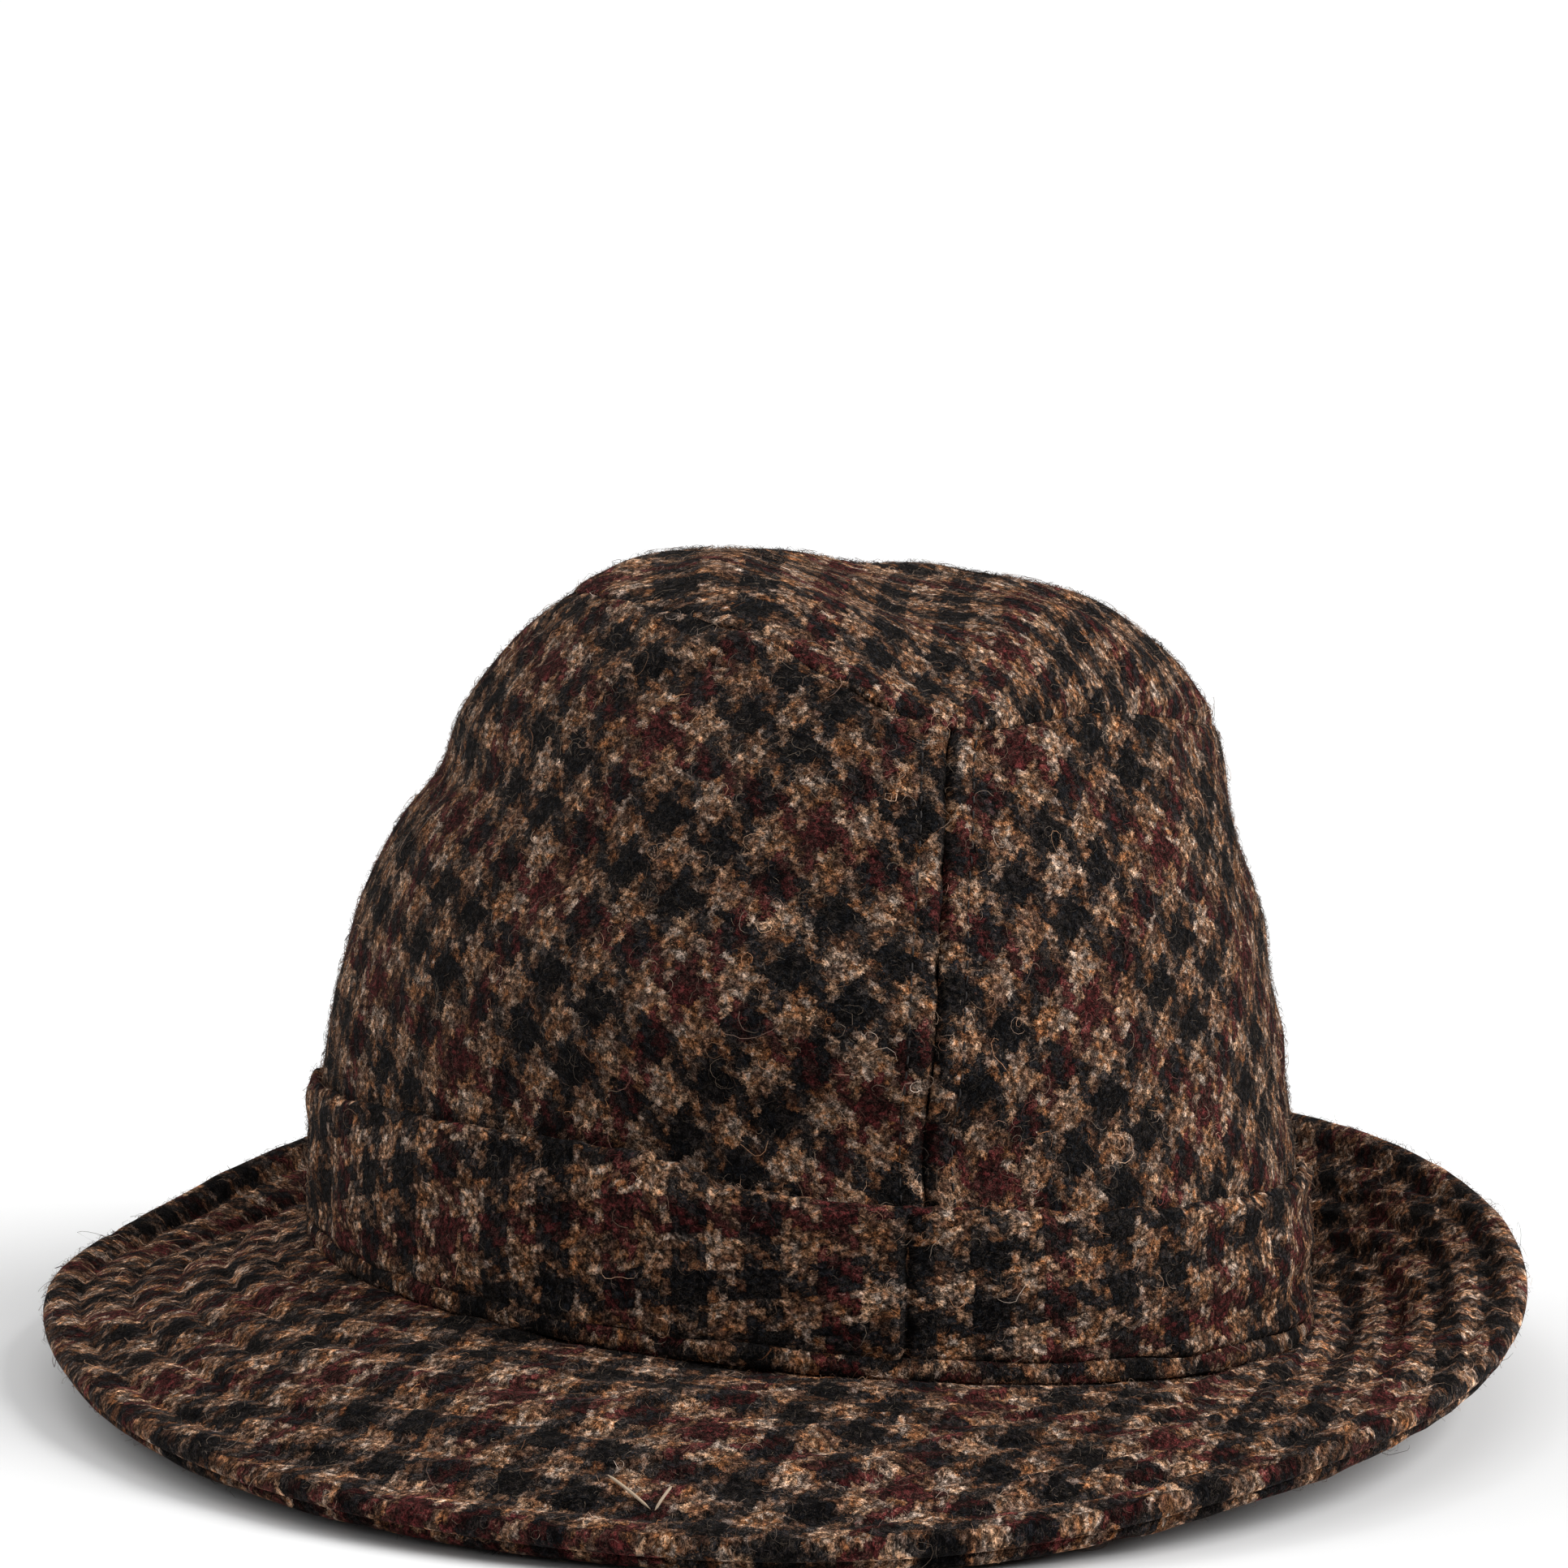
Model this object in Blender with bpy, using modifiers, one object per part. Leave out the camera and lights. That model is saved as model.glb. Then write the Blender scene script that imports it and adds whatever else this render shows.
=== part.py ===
"""Soft cut-and-sewn tweed fedora with a narrow brim, in metres, +Z up, front towards -Y.

The crown is two side panels joined at the front and back centre, closed by an oval tip
that has a shallow centre crease. A cloth band with a stepped upper edge goes round its
foot, a narrow welt covers the seam under it, and the brim is two layers of cloth. The
hat stands as it would by itself: its front brim is turned down and lifts it a little,
and the rest of the brim curls up.
"""

import math

import bmesh
import bpy
from mathutils import Matrix, Vector

# Crown, measured on the outer face of the cloth
CROWN_HALF_WIDTH = 0.0855
CROWN_HALF_FRONT = 0.1020
CROWN_HALF_BACK = 0.1020
CROWN_HEIGHT = 0.1256
CROWN_CLOTH = 0.0018
CROWN_FRONT_TAPER = 0.08
CROWN_TWIST = math.radians(2.5)

# Seam between the side panels and the tip, as shares of the crown's height
TIP_SEAM_SHARE = 0.858
TIP_SEAM_TILT = 0.058
TIP_NOTCH = 0.056
TIP_NOTCH_SPREAD = math.radians(22.0)

# Centre crease of the tip: it fades out behind CREASE_FRONT and below CREASE_FOOT, which
# is a share of the crown's height
CREASE_DEPTH = 0.0070
CREASE_HALF_WIDTH = 0.0170
CREASE_FRONT = 0.0420
CREASE_LENGTH = 0.0420
CREASE_FOOT = 0.70
CREASE_FULL = 0.90

# Band: its upper edge rises round the right side and steps down left of the front
BAND_HEIGHT = 0.0268
BAND_RISE = 0.0052
BAND_RISE_START = math.radians(-100.0)
BAND_STEP_ANGLE = math.radians(-24.0)
BAND_STEP_WIDTH = math.radians(3.0)
BAND_CLOTH = 0.0018

# Welt, brim cloth, and the gap left between pieces
WELT_HEIGHT = 0.0034
WELT_CLOTH = 0.0018
BRIM_CLOTH = 0.0020
CLEARANCE = 0.0003

# Level edge of the brim under the welt
BRIM_LIP = WELT_CLOTH + 2 * CLEARANCE

# Brim, from the crown's outer face to the edge, measured flat on the ground plan
BRIM_FRONT_REACH = 0.0456
BRIM_SIDE_REACH = 0.0425
BRIM_BACK_REACH = 0.0388
BRIM_PLAN_SHIFT = -0.0050
EDGE_CURL = 0.0260
BRIM_FULLNESS = 1.35

# How the hat stands: lean to the wearer's left, lean back, height of the brim seam
LEAN_SIDE = math.radians(4.87)
LEAN_BACK = math.radians(1.76)
SEAM_HEIGHT = 0.0142

# Mesh steps
STEPS_AROUND = 72
STEPS_SIDE = 9
STEPS_TIP = 6
STEPS_BAND = 3
STEPS_BRIM = 6
SEAM_STEP = 0.012

# Level of the crown from brim seam to top: height as a share of CROWN_HEIGHT, half width
# and side shift as shares of CROWN_HALF_WIDTH, front and back as shares of their halves
HEIGHT, WIDTH, SHIFT, FRONT, BACK = range(5)
CROWN_LEVELS = (
    # height, width, shift, front, back
    (0.000, 1.000, 0.000, 1.000, 1.000),
    (0.158, 0.999, -0.020, 1.000, 1.000),
    (0.315, 0.974, -0.035, 0.985, 0.978),
    (0.473, 0.923, -0.035, 0.950, 0.935),
    (0.630, 0.846, -0.018, 0.888, 0.880),
    (0.748, 0.774, -0.007, 0.822, 0.830),
    (0.827, 0.712, 0.009, 0.758, 0.775),
    (0.890, 0.635, 0.014, 0.672, 0.690),
    (0.937, 0.542, 0.010, 0.572, 0.590),
    (0.968, 0.441, -0.012, 0.460, 0.480),
    (0.988, 0.320, -0.035, 0.330, 0.350),
    (0.998, 0.165, -0.045, 0.170, 0.180),
    (1.000, 0.000, -0.050, 0.000, 0.000),
)

# Soft dents of the side panels: angle from the front, height as a share of CROWN_HEIGHT,
# spread round and up, and depth as a share of CROWN_HALF_WIDTH
CROWN_DENTS = (
    # angle, height, spread round, spread up, depth
    (-84.0, 0.655, 24.0, 0.054, 0.040),
    (86.0, 0.665, 22.0, 0.070, 0.020),
    (-30.0, 0.800, 17.0, 0.090, 0.024),
    (34.0, 0.790, 17.0, 0.090, 0.020),
    (180.0, 0.780, 26.0, 0.100, 0.020),
)

# Brim every 30 degrees round from the back: height of the edge as a share of EDGE_CURL,
# and the slopes at the crown and at the edge, in degrees above level
EDGE_HEIGHT, ROOT_SLOPE, EDGE_SLOPE = range(3)
BRIM_ROWS = (
    # edge height, slope at crown, slope at edge
    (0.88, -50.0, 50.0),
    (0.84, -46.0, 46.0),
    (0.50, -26.0, 22.0),
    (0.43, -14.0, -6.0),
    (0.245, -8.0, -22.0),
    (0.150, -6.0, -26.0),
    (0.145, -8.0, -26.0),
    (0.370, -8.0, -24.0),
    (0.590, -8.0, -16.0),
    (0.900, -14.0, 22.0),
    (1.045, -30.0, 44.0),
    (0.900, -38.0, 48.0),
)

TWEED = {
    "crown_side_left": (0.115, 0.078, 0.058),
    "crown_side_right": (0.110, 0.075, 0.056),
    "crown_tip": (0.125, 0.085, 0.063),
    "hat_band": (0.100, 0.068, 0.052),
    "brim_welt": (0.085, 0.058, 0.046),
    "brim_upper": (0.120, 0.080, 0.060),
    "brim_under": (0.090, 0.062, 0.048),
}


def clear_scene():
    """Remove every object of the open scene."""
    for item in list(bpy.data.objects):
        bpy.data.objects.remove(item, do_unlink=True)


def blend(before, start, end, after, share):
    """Catmull-Rom value between start and end."""
    rise = 0.5 * (end - before)
    fall = 0.5 * (after - start)
    square = share * share
    cube = square * share
    return (
        start * (2 * cube - 3 * square + 1)
        + rise * (cube - 2 * square + share)
        + end * (3 * square - 2 * cube)
        + fall * (cube - square)
    )


def level_value(column, place):
    """Read a column of CROWN_LEVELS at a place from 0 at the foot to 1 at the top."""
    last = len(CROWN_LEVELS) - 1
    spot = min(max(place, 0.0), 1.0) * last
    row = min(int(spot), last - 1)
    start = CROWN_LEVELS[row][column]
    end = CROWN_LEVELS[row + 1][column]
    before = CROWN_LEVELS[row - 1][column] if row else 2 * start - end
    after = CROWN_LEVELS[row + 2][column] if row + 2 <= last else 2 * end - start
    return blend(before, start, end, after, spot - row)


def brim_value(column, angle):
    """Read a column of BRIM_ROWS at an angle from the front, closed round the hat."""
    count = len(BRIM_ROWS)
    spot = (angle + math.pi) / (2 * math.pi) * count
    row = math.floor(spot)
    values = [BRIM_ROWS[(row + step) % count][column] for step in (-1, 0, 1, 2)]
    return blend(*values, spot - row)


def wrap(angle):
    """Bring an angle into the half turn either side of the front."""
    return (angle + math.pi) % (2 * math.pi) - math.pi


def bell(offset, spread):
    """Smooth bump of height one."""
    return math.exp(-((offset / spread) ** 2))


def section_point(angle, width, front, back, shift, height, proud=0.0):
    """Point of one level section, pushed out by proud along its outward direction."""
    length = front if math.cos(angle) > 0 else back
    place = Vector((width * math.sin(angle), -length * math.cos(angle), 0.0))
    outward = Vector((length * math.sin(angle), -width * math.cos(angle), 0.0)).normalized()
    return place + outward * proud + Vector((shift, 0.0, height))


def crown_point(angle, place, proud=0.0):
    """Point of the crown's outer face, in the hat's own upright frame."""
    share = level_value(HEIGHT, place)
    turned = angle + CROWN_TWIST * share * max(math.cos(angle), 0.0)
    dent = 0.0
    for dent_angle, dent_height, spread_round, spread_up, depth in CROWN_DENTS:
        side = wrap(angle - math.radians(dent_angle))
        dent += depth * CROWN_HALF_WIDTH * bell(side, math.radians(spread_round)) * bell(
            share - dent_height, spread_up
        )
    taper = 1.0 - CROWN_FRONT_TAPER * share * math.cos(angle)
    point = section_point(
        turned,
        level_value(WIDTH, place) * CROWN_HALF_WIDTH * taper,
        level_value(FRONT, place) * CROWN_HALF_FRONT,
        level_value(BACK, place) * CROWN_HALF_BACK,
        level_value(SHIFT, place) * CROWN_HALF_WIDTH,
        share * CROWN_HEIGHT,
        proud - dent,
    )
    along = bell(point.y + CREASE_FRONT, CREASE_LENGTH) if point.y > -CREASE_FRONT else 1.0
    near_top = min(max((share - CREASE_FOOT) / (CREASE_FULL - CREASE_FOOT), 0.0), 1.0)
    point.z -= CREASE_DEPTH * bell(point.x, CREASE_HALF_WIDTH) * along * near_top ** 2
    return point


def place_of_share(share):
    """Place on the crown's profile at a share of the crown's height."""
    low, high = 0.0, 1.0
    for _ in range(30):
        middle = 0.5 * (low + high)
        if level_value(HEIGHT, middle) < share:
            low = middle
        else:
            high = middle
    return low


def tip_seam_place(angle):
    """Place on the crown's profile where the tip is sewn to the side panels."""
    share = TIP_SEAM_SHARE - TIP_SEAM_TILT * math.sin(angle)
    return place_of_share(share - TIP_NOTCH * bell(wrap(angle), TIP_NOTCH_SPREAD))


def band_top(angle):
    """Height of the band's upper edge above the brim seam."""
    turn = wrap(angle)
    climb = (turn - BAND_RISE_START) / (BAND_STEP_ANGLE - BAND_RISE_START)
    fall = 1.0 / (1.0 + math.exp((turn - BAND_STEP_ANGLE) / BAND_STEP_WIDTH))
    return BAND_HEIGHT + BAND_RISE * min(max(climb, 0.0), 1.0) * fall


def stand(point):
    """Turn a point from the hat's upright frame into the frame of the ground."""
    lean_side = Matrix.Rotation(LEAN_SIDE, 3, "Y")
    lean_back = Matrix.Rotation(-LEAN_BACK, 3, "X")
    return lean_back @ (lean_side @ point) + Vector((0.0, 0.0, SEAM_HEIGHT))


def brim_root(angle, lip):
    """Point of the brim's level inner edge, a lip's width out from the crown."""
    return stand(
        section_point(
            angle,
            CROWN_HALF_WIDTH,
            CROWN_HALF_FRONT,
            CROWN_HALF_BACK,
            0.0,
            0.0,
            CLEARANCE + lip,
        )
    )


def brim_point(angle, share):
    """Point of the brim's upper face, from 0 outside the welt to 1 at the edge."""
    root = brim_root(angle, BRIM_LIP)
    edge = section_point(
        angle,
        CROWN_HALF_WIDTH + BRIM_SIDE_REACH,
        CROWN_HALF_FRONT + BRIM_FRONT_REACH,
        CROWN_HALF_BACK + BRIM_BACK_REACH,
        BRIM_PLAN_SHIFT,
        brim_value(EDGE_HEIGHT, angle) * EDGE_CURL,
    )
    span = edge - root
    outward = Vector((span.x, span.y, 0.0)).normalized()
    slope_root = math.radians(brim_value(ROOT_SLOPE, angle))
    slope_edge = math.radians(brim_value(EDGE_SLOPE, angle))
    length = span.length * BRIM_FULLNESS
    leave = (outward * math.cos(slope_root) + Vector((0, 0, math.sin(slope_root)))) * length
    arrive = (outward * math.cos(slope_edge) + Vector((0, 0, math.sin(slope_edge)))) * length
    square = share * share
    cube = square * share
    return (
        root * (2 * cube - 3 * square + 1)
        + leave * (cube - 2 * square + share)
        + edge * (3 * square - 2 * cube)
        + arrive * (cube - square)
    )


def grid_mesh(name, rows, closed):
    """Open surface from rows of points; the last row may be a single point."""
    mesh = bmesh.new()
    lines = [[mesh.verts.new(point) for point in row] for row in rows]
    for lower, upper in zip(lines, lines[1:]):
        count = len(lower) if closed else len(lower) - 1
        for step in range(count):
            after = (step + 1) % len(lower)
            if len(upper) == 1:
                mesh.faces.new((lower[step], lower[after], upper[0]))
            else:
                mesh.faces.new((lower[step], lower[after], upper[after], upper[step]))
    data = bpy.data.meshes.new(name)
    mesh.to_mesh(data)
    mesh.free()
    data.shade_smooth()
    return data


def cloth_material(name):
    """Woollen tweed in the piece's mean colour."""
    material = bpy.data.materials.new(name + "_tweed")
    material.use_nodes = True
    shader = material.node_tree.nodes["Principled BSDF"]
    shader.inputs["Base Color"].default_value = (*TWEED[name], 1.0)
    shader.inputs["Roughness"].default_value = 0.95
    shader.inputs["Metallic"].default_value = 0.0
    return material


def cloth_piece(name, rows, closed, thickness, offset, collection):
    """One piece of cloth: an open surface given its thickness by Solidify."""
    data = grid_mesh(name, rows, closed)
    data.materials.append(cloth_material(name))
    piece = bpy.data.objects.new(name, data)
    collection.objects.link(piece)
    wall = piece.modifiers.new("wall", "SOLIDIFY")
    wall.thickness = thickness
    wall.offset = offset
    wall.use_even_offset = True
    return piece


def round_angles(count):
    """Angles of a closed ring, starting at the back."""
    return [-math.pi + 2 * math.pi * step / count for step in range(count)]


def side_panel(name, side, collection):
    """Crown side panel on the wearer's left (side 1) or right (side -1)."""
    steps = STEPS_AROUND // 2
    foot = Vector((0.0, 0.0, -2 * BRIM_CLOTH - CLEARANCE))
    shares = [level / STEPS_SIDE for level in range(STEPS_SIDE)] + [1.0 - SEAM_STEP, 1.0]
    rows = [[] for _ in range(len(shares) + 1)]
    for step in range(steps + 1):
        angle = side * math.pi * step / steps
        for row, share in zip(rows[1:], shares):
            place = tip_seam_place(angle) * share
            length = CROWN_HALF_FRONT * level_value(FRONT, place)
            gap = CLEARANCE / 2 / length * math.cos(angle) * side
            point = crown_point(angle + gap, place)
            row.append(stand(point))
            if share == 0.0:
                rows[0].append(stand(point + foot))
    if side < 0:
        rows = [row[::-1] for row in rows]
    return cloth_piece(name, rows, False, CROWN_CLOTH, -1.0, collection)


def tip_panel(collection):
    """Oval tip with its centre crease."""
    shares = [0.0, SEAM_STEP * 2] + [ring / STEPS_TIP for ring in range(1, STEPS_TIP)]
    rows = []
    for share in shares:
        row = []
        for angle in round_angles(STEPS_AROUND):
            start = tip_seam_place(angle) + CLEARANCE / CROWN_HEIGHT
            place = start + (1.0 - start) * share
            row.append(stand(crown_point(angle, place)))
        rows.append(row)
    rows.append([stand(crown_point(0.0, 1.0))])
    return cloth_piece("crown_tip", rows, True, CROWN_CLOTH, -1.0, collection)


def strip(name, foot, top, steps, thickness, collection):
    """Strip of cloth round the crown, from a height to an upper edge given by angle."""
    rows = []
    for level in range(steps + 1):
        row = []
        for angle in round_angles(STEPS_AROUND):
            height = foot + (top(angle) - foot) * level / steps
            place = place_of_share(height / CROWN_HEIGHT)
            row.append(stand(crown_point(angle, place, CLEARANCE)))
        rows.append(row)
    return cloth_piece(name, rows, True, thickness, 1.0, collection)


def welt_top(angle):
    """Height of the welt's upper edge above the brim seam."""
    return WELT_HEIGHT


def brim_layer(name, depth, collection):
    """One layer of the brim, its upper side at a depth below the brim's upper face."""
    rows = []
    for step in range(STEPS_BRIM, -1, -1):
        rows.append([brim_point(angle, step / STEPS_BRIM) for angle in round_angles(STEPS_AROUND)])
    rows.append([brim_root(angle, 0.0) for angle in round_angles(STEPS_AROUND)])
    offset = -1.0 - 2.0 * depth / BRIM_CLOTH
    return cloth_piece(name, rows, True, BRIM_CLOTH, offset, collection)


def set_down(pieces):
    """Move the hat so that it stands on the ground, its box centred on the origin."""
    bpy.context.view_layer.update()
    graph = bpy.context.evaluated_depsgraph_get()
    points = []
    for piece in pieces:
        solid = piece.evaluated_get(graph)
        data = solid.to_mesh()
        points += [solid.matrix_world @ vertex.co for vertex in data.vertices]
        solid.to_mesh_clear()
    low = Vector([min(point[axis] for point in points) for axis in range(3)])
    high = Vector([max(point[axis] for point in points) for axis in range(3)])
    middle = (low + high) / 2
    for piece in pieces:
        piece.location -= Vector((middle.x, middle.y, low.z))


def main():
    """Build the hat, one object for each sewn piece."""
    clear_scene()
    collection = bpy.data.collections.new("tweed_fedora")
    bpy.context.scene.collection.children.link(collection)
    band_foot = WELT_HEIGHT + CLEARANCE
    pieces = [
        side_panel("crown_side_left", 1, collection),
        side_panel("crown_side_right", -1, collection),
        tip_panel(collection),
        strip("hat_band", band_foot, band_top, STEPS_BAND, BAND_CLOTH, collection),
        strip("brim_welt", CLEARANCE, welt_top, 1, WELT_CLOTH, collection),
        brim_layer("brim_upper", 0.0, collection),
        brim_layer("brim_under", BRIM_CLOTH + CLEARANCE, collection),
    ]
    set_down(pieces)


main()
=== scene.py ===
"""Looks of the tweed fedora: sewn cloth panels, band, welt, quilted brim, nap and loose fibres.

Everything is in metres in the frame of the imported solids, with -Y towards the front of the
hat. Angles go round the hat from its front and grow towards the wearer's left.
"""

from __future__ import annotations

import logging
import math
from dataclasses import dataclass
from enum import Enum

import bmesh
import bpy
import numpy as np
from mathutils import Matrix, Vector

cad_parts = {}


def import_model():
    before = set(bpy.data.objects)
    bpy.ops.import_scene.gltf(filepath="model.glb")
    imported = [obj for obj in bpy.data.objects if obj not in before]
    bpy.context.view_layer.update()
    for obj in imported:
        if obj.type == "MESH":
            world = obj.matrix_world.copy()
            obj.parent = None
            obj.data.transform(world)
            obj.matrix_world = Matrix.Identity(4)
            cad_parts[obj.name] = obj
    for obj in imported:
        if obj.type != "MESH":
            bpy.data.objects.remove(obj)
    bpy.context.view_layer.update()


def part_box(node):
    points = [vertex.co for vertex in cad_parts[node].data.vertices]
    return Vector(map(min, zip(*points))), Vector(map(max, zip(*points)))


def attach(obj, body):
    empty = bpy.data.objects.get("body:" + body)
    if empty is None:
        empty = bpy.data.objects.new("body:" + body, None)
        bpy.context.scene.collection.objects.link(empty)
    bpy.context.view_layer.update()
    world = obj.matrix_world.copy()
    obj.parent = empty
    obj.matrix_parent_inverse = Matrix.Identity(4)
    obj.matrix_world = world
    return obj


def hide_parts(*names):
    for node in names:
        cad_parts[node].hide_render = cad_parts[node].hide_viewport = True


LOG = logging.getLogger("tweed_fedora")
MM = 0.001
CLOTH_MAP = "cloth"
FIBRE_MAP = "fibre"

Array = np.ndarray
Size = np.ndarray | float


# Small helpers for curves and surfaces


def hermite(start: Array, rise: Array, end: Array, fall: Array, share: Array) -> Array:
    """Cubic curve between two values.

    Args:
        start: value where the share is 0.
        rise: slope there.
        end: value where the share is 1.
        fall: slope there.
        share: how far along the curve each point is.

    Returns:
        The values.
    """
    square = share * share
    cube = square * share
    return (
        start * (2 * cube - 3 * square + 1)
        + rise * (cube - 2 * square + share)
        + end * (3 * square - 2 * cube)
        + fall * (cube - square)
    )


def blend_rows(values: Array, spot: Array, closed: bool) -> Array:
    """Read a table column at fractional rows with a Catmull-Rom curve.

    Args:
        values: the column.
        spot: fractional row numbers.
        closed: whether the last row is followed by the first.

    Returns:
        The smooth values.
    """
    count = len(values)
    row = np.floor(spot).astype(int)
    if closed:
        before, start, end, after = (values[(row + step) % count] for step in (-1, 0, 1, 2))
    else:
        row = np.clip(row, 0, count - 2)
        padded = np.concatenate(
            [[2 * values[0] - values[1]], values, [2 * values[-1] - values[-2]]]
        )
        before, start, end, after = (padded[row + step] for step in (0, 1, 2, 3))
    return hermite(start, 0.5 * (end - before), end, 0.5 * (after - start), spot - row)


def bell(offset: Array, spread: float) -> Array:
    """Smooth bump of height one."""
    return np.exp(-((offset / spread) ** 2))


def smooth_step(low: float, high: float, value: Array) -> Array:
    """Rise smoothly from 0 at low to 1 at high."""
    share = np.clip((value - low) / (high - low), 0.0, 1.0)
    return share * share * (3.0 - 2.0 * share)


def wrap(angle: Array) -> Array:
    """Bring angles into the half turn either side of the front."""
    return (angle + math.pi) % (2 * math.pi) - math.pi


def unit(vectors: Array) -> Array:
    """Give vectors a length of one."""
    return vectors / (np.linalg.norm(vectors, axis=-1, keepdims=True) + 1e-12)


def soft_waves(across: Array, along: Array, size: float, seed: int) -> Array:
    """Soft random lumps, mostly between -1 and 1, that repeat the same way each run.

    Args:
        across: first coordinate of each point.
        along: second coordinate of each point.
        size: usual distance from one lump to the next.
        seed: picks one of the fields.

    Returns:
        The height of the field at each point.
    """
    rng = np.random.default_rng(seed)
    total = np.zeros(np.broadcast(across, along).shape)
    waves = 9
    for _ in range(waves):
        heading = rng.uniform(0, 2 * math.pi)
        turns = 2 * math.pi / (size * rng.uniform(0.7, 1.6))
        phase = rng.uniform(0, 2 * math.pi)
        total = total + np.sin(
            turns * (across * math.cos(heading) + along * math.sin(heading)) + phase
        )
    return total / math.sqrt(waves)


def graded(length: float, coarse: float, fine: float, reach: float) -> Array:
    """Distances from 0 to length, in fine steps near both ends and coarse steps between.

    Args:
        length: whole distance.
        coarse: step in the middle.
        fine: step near the ends.
        reach: how far the fine steps go from each end.

    Returns:
        The distances, as shares of the length.
    """
    ends = np.arange(0.0, reach, fine)
    middle_count = max(int(round((length - 2 * reach) / coarse)), 1) + 1
    middle = np.linspace(reach, length - reach, middle_count)
    return np.concatenate([ends, middle, (length - ends)[::-1]]) / length


def rest_on_ground(
    height: Array, lowest: float = 0.0002, soft: float = 0.0006, free: float = 6.0
) -> Array:
    """Flatten softly what would sink into the surface that the hat stands on.

    Args:
        height: heights above the surface.
        lowest: height of the cloth where it lies on the surface.
        soft: height over which the cloth bends to lie flat.
        free: how many times that height leaves the cloth as it is.

    Returns:
        The heights, none below the lowest.
    """
    above = (height - lowest) / soft
    bent = np.log1p(np.exp(np.minimum(above, free)))
    return lowest + soft * np.where(above > free, above, bent)


def ring_angles(columns: int) -> Array:
    """Even angles once round the hat, from half a turn before the front, without the last."""
    return -math.pi + 2 * math.pi * np.arange(columns) / columns


def closed_ring(grid: Array) -> Array:
    """Grid whose first column is there again after its last one."""
    return np.concatenate([grid, grid[:, :1]], axis=1)


def spaced_angles(
    columns: int, spots: dict[float, float], spread: float = 0.05, samples: int = 4001
) -> Array:
    """Angles once round the hat, closer together near some of them.

    Args:
        columns: how many angles.
        spots: how much closer they are, by the angle that it is near.
        spread: how far from those angles they are closer.
        samples: how finely the spacing is worked out.

    Returns:
        The angles, from half a turn before the front, without the last.
    """
    fine = np.linspace(-math.pi, math.pi, samples)
    closeness = 1.0 + sum(more * bell(wrap(fine - at), spread) for at, more in spots.items())
    total = np.concatenate([[0.0], np.cumsum(0.5 * (closeness[1:] + closeness[:-1]))])
    return np.interp(np.arange(columns) / columns * total[-1], total, fine)


def run_length(points: Array, axis: int) -> Array:
    """Distance along a grid or a line of points from its first row or column.

    Args:
        points: grid of points, rows by columns by 3, or line of points.
        axis: 0 to go from row to row, 1 to go from column to column.

    Returns:
        The distance at each point.
    """
    steps = np.linalg.norm(np.diff(points, axis=axis), axis=-1)
    total = np.cumsum(steps, axis=axis)
    first = np.zeros_like(np.take(total, [0], axis=axis))
    return np.concatenate([first, total], axis=axis)


# Shape of the hat, from the same named sizes as the solids


@dataclass(frozen=True)
class CrownSizes:
    """Sizes of the crown, on the outer face of its cloth."""

    half_width: float = 0.0855
    half_front: float = 0.1020
    half_back: float = 0.1020
    height: float = 0.1256
    cloth: float = 0.0018
    front_taper: float = 0.08
    twist: float = math.radians(2.5)
    seam_share: float = 0.858
    seam_tilt: float = 0.058
    notch: float = 0.056
    notch_spread: float = math.radians(22.0)
    crease_depth: float = 0.0070
    crease_half_width: float = 0.0170
    crease_front: float = 0.0420
    crease_length: float = 0.0420
    crease_foot: float = 0.70
    crease_full: float = 0.90
    # height, width, shift, front, back
    levels: tuple[tuple[float, ...], ...] = (
        (0.000, 1.000, 0.000, 1.000, 1.000),
        (0.158, 0.999, -0.020, 1.000, 1.000),
        (0.315, 0.974, -0.035, 0.985, 0.978),
        (0.473, 0.923, -0.035, 0.950, 0.935),
        (0.630, 0.846, -0.018, 0.888, 0.880),
        (0.748, 0.774, -0.007, 0.822, 0.830),
        (0.827, 0.712, 0.009, 0.758, 0.775),
        (0.890, 0.635, 0.014, 0.672, 0.690),
        (0.937, 0.542, 0.010, 0.572, 0.590),
        (0.968, 0.441, -0.012, 0.460, 0.480),
        (0.988, 0.320, -0.035, 0.330, 0.350),
        (0.998, 0.165, -0.045, 0.170, 0.180),
        (1.000, 0.000, -0.050, 0.000, 0.000),
    )
    # angle, height, spread round, spread up, depth
    dents: tuple[tuple[float, ...], ...] = (
        (-84.0, 0.655, 24.0, 0.054, 0.040),
        (86.0, 0.665, 22.0, 0.070, 0.020),
        (-30.0, 0.800, 17.0, 0.090, 0.024),
        (34.0, 0.790, 17.0, 0.090, 0.020),
        (180.0, 0.780, 26.0, 0.100, 0.020),
    )


@dataclass(frozen=True)
class BandSizes:
    """Sizes of the band and the welt under it."""

    height: float = 0.0268
    rise: float = 0.0052
    rise_start: float = math.radians(-100.0)
    step_angle: float = math.radians(-24.0)
    step_width: float = math.radians(3.0)
    cloth: float = 0.0018
    welt_height: float = 0.0034
    welt_cloth: float = 0.0018
    gap: float = 0.0003


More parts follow.
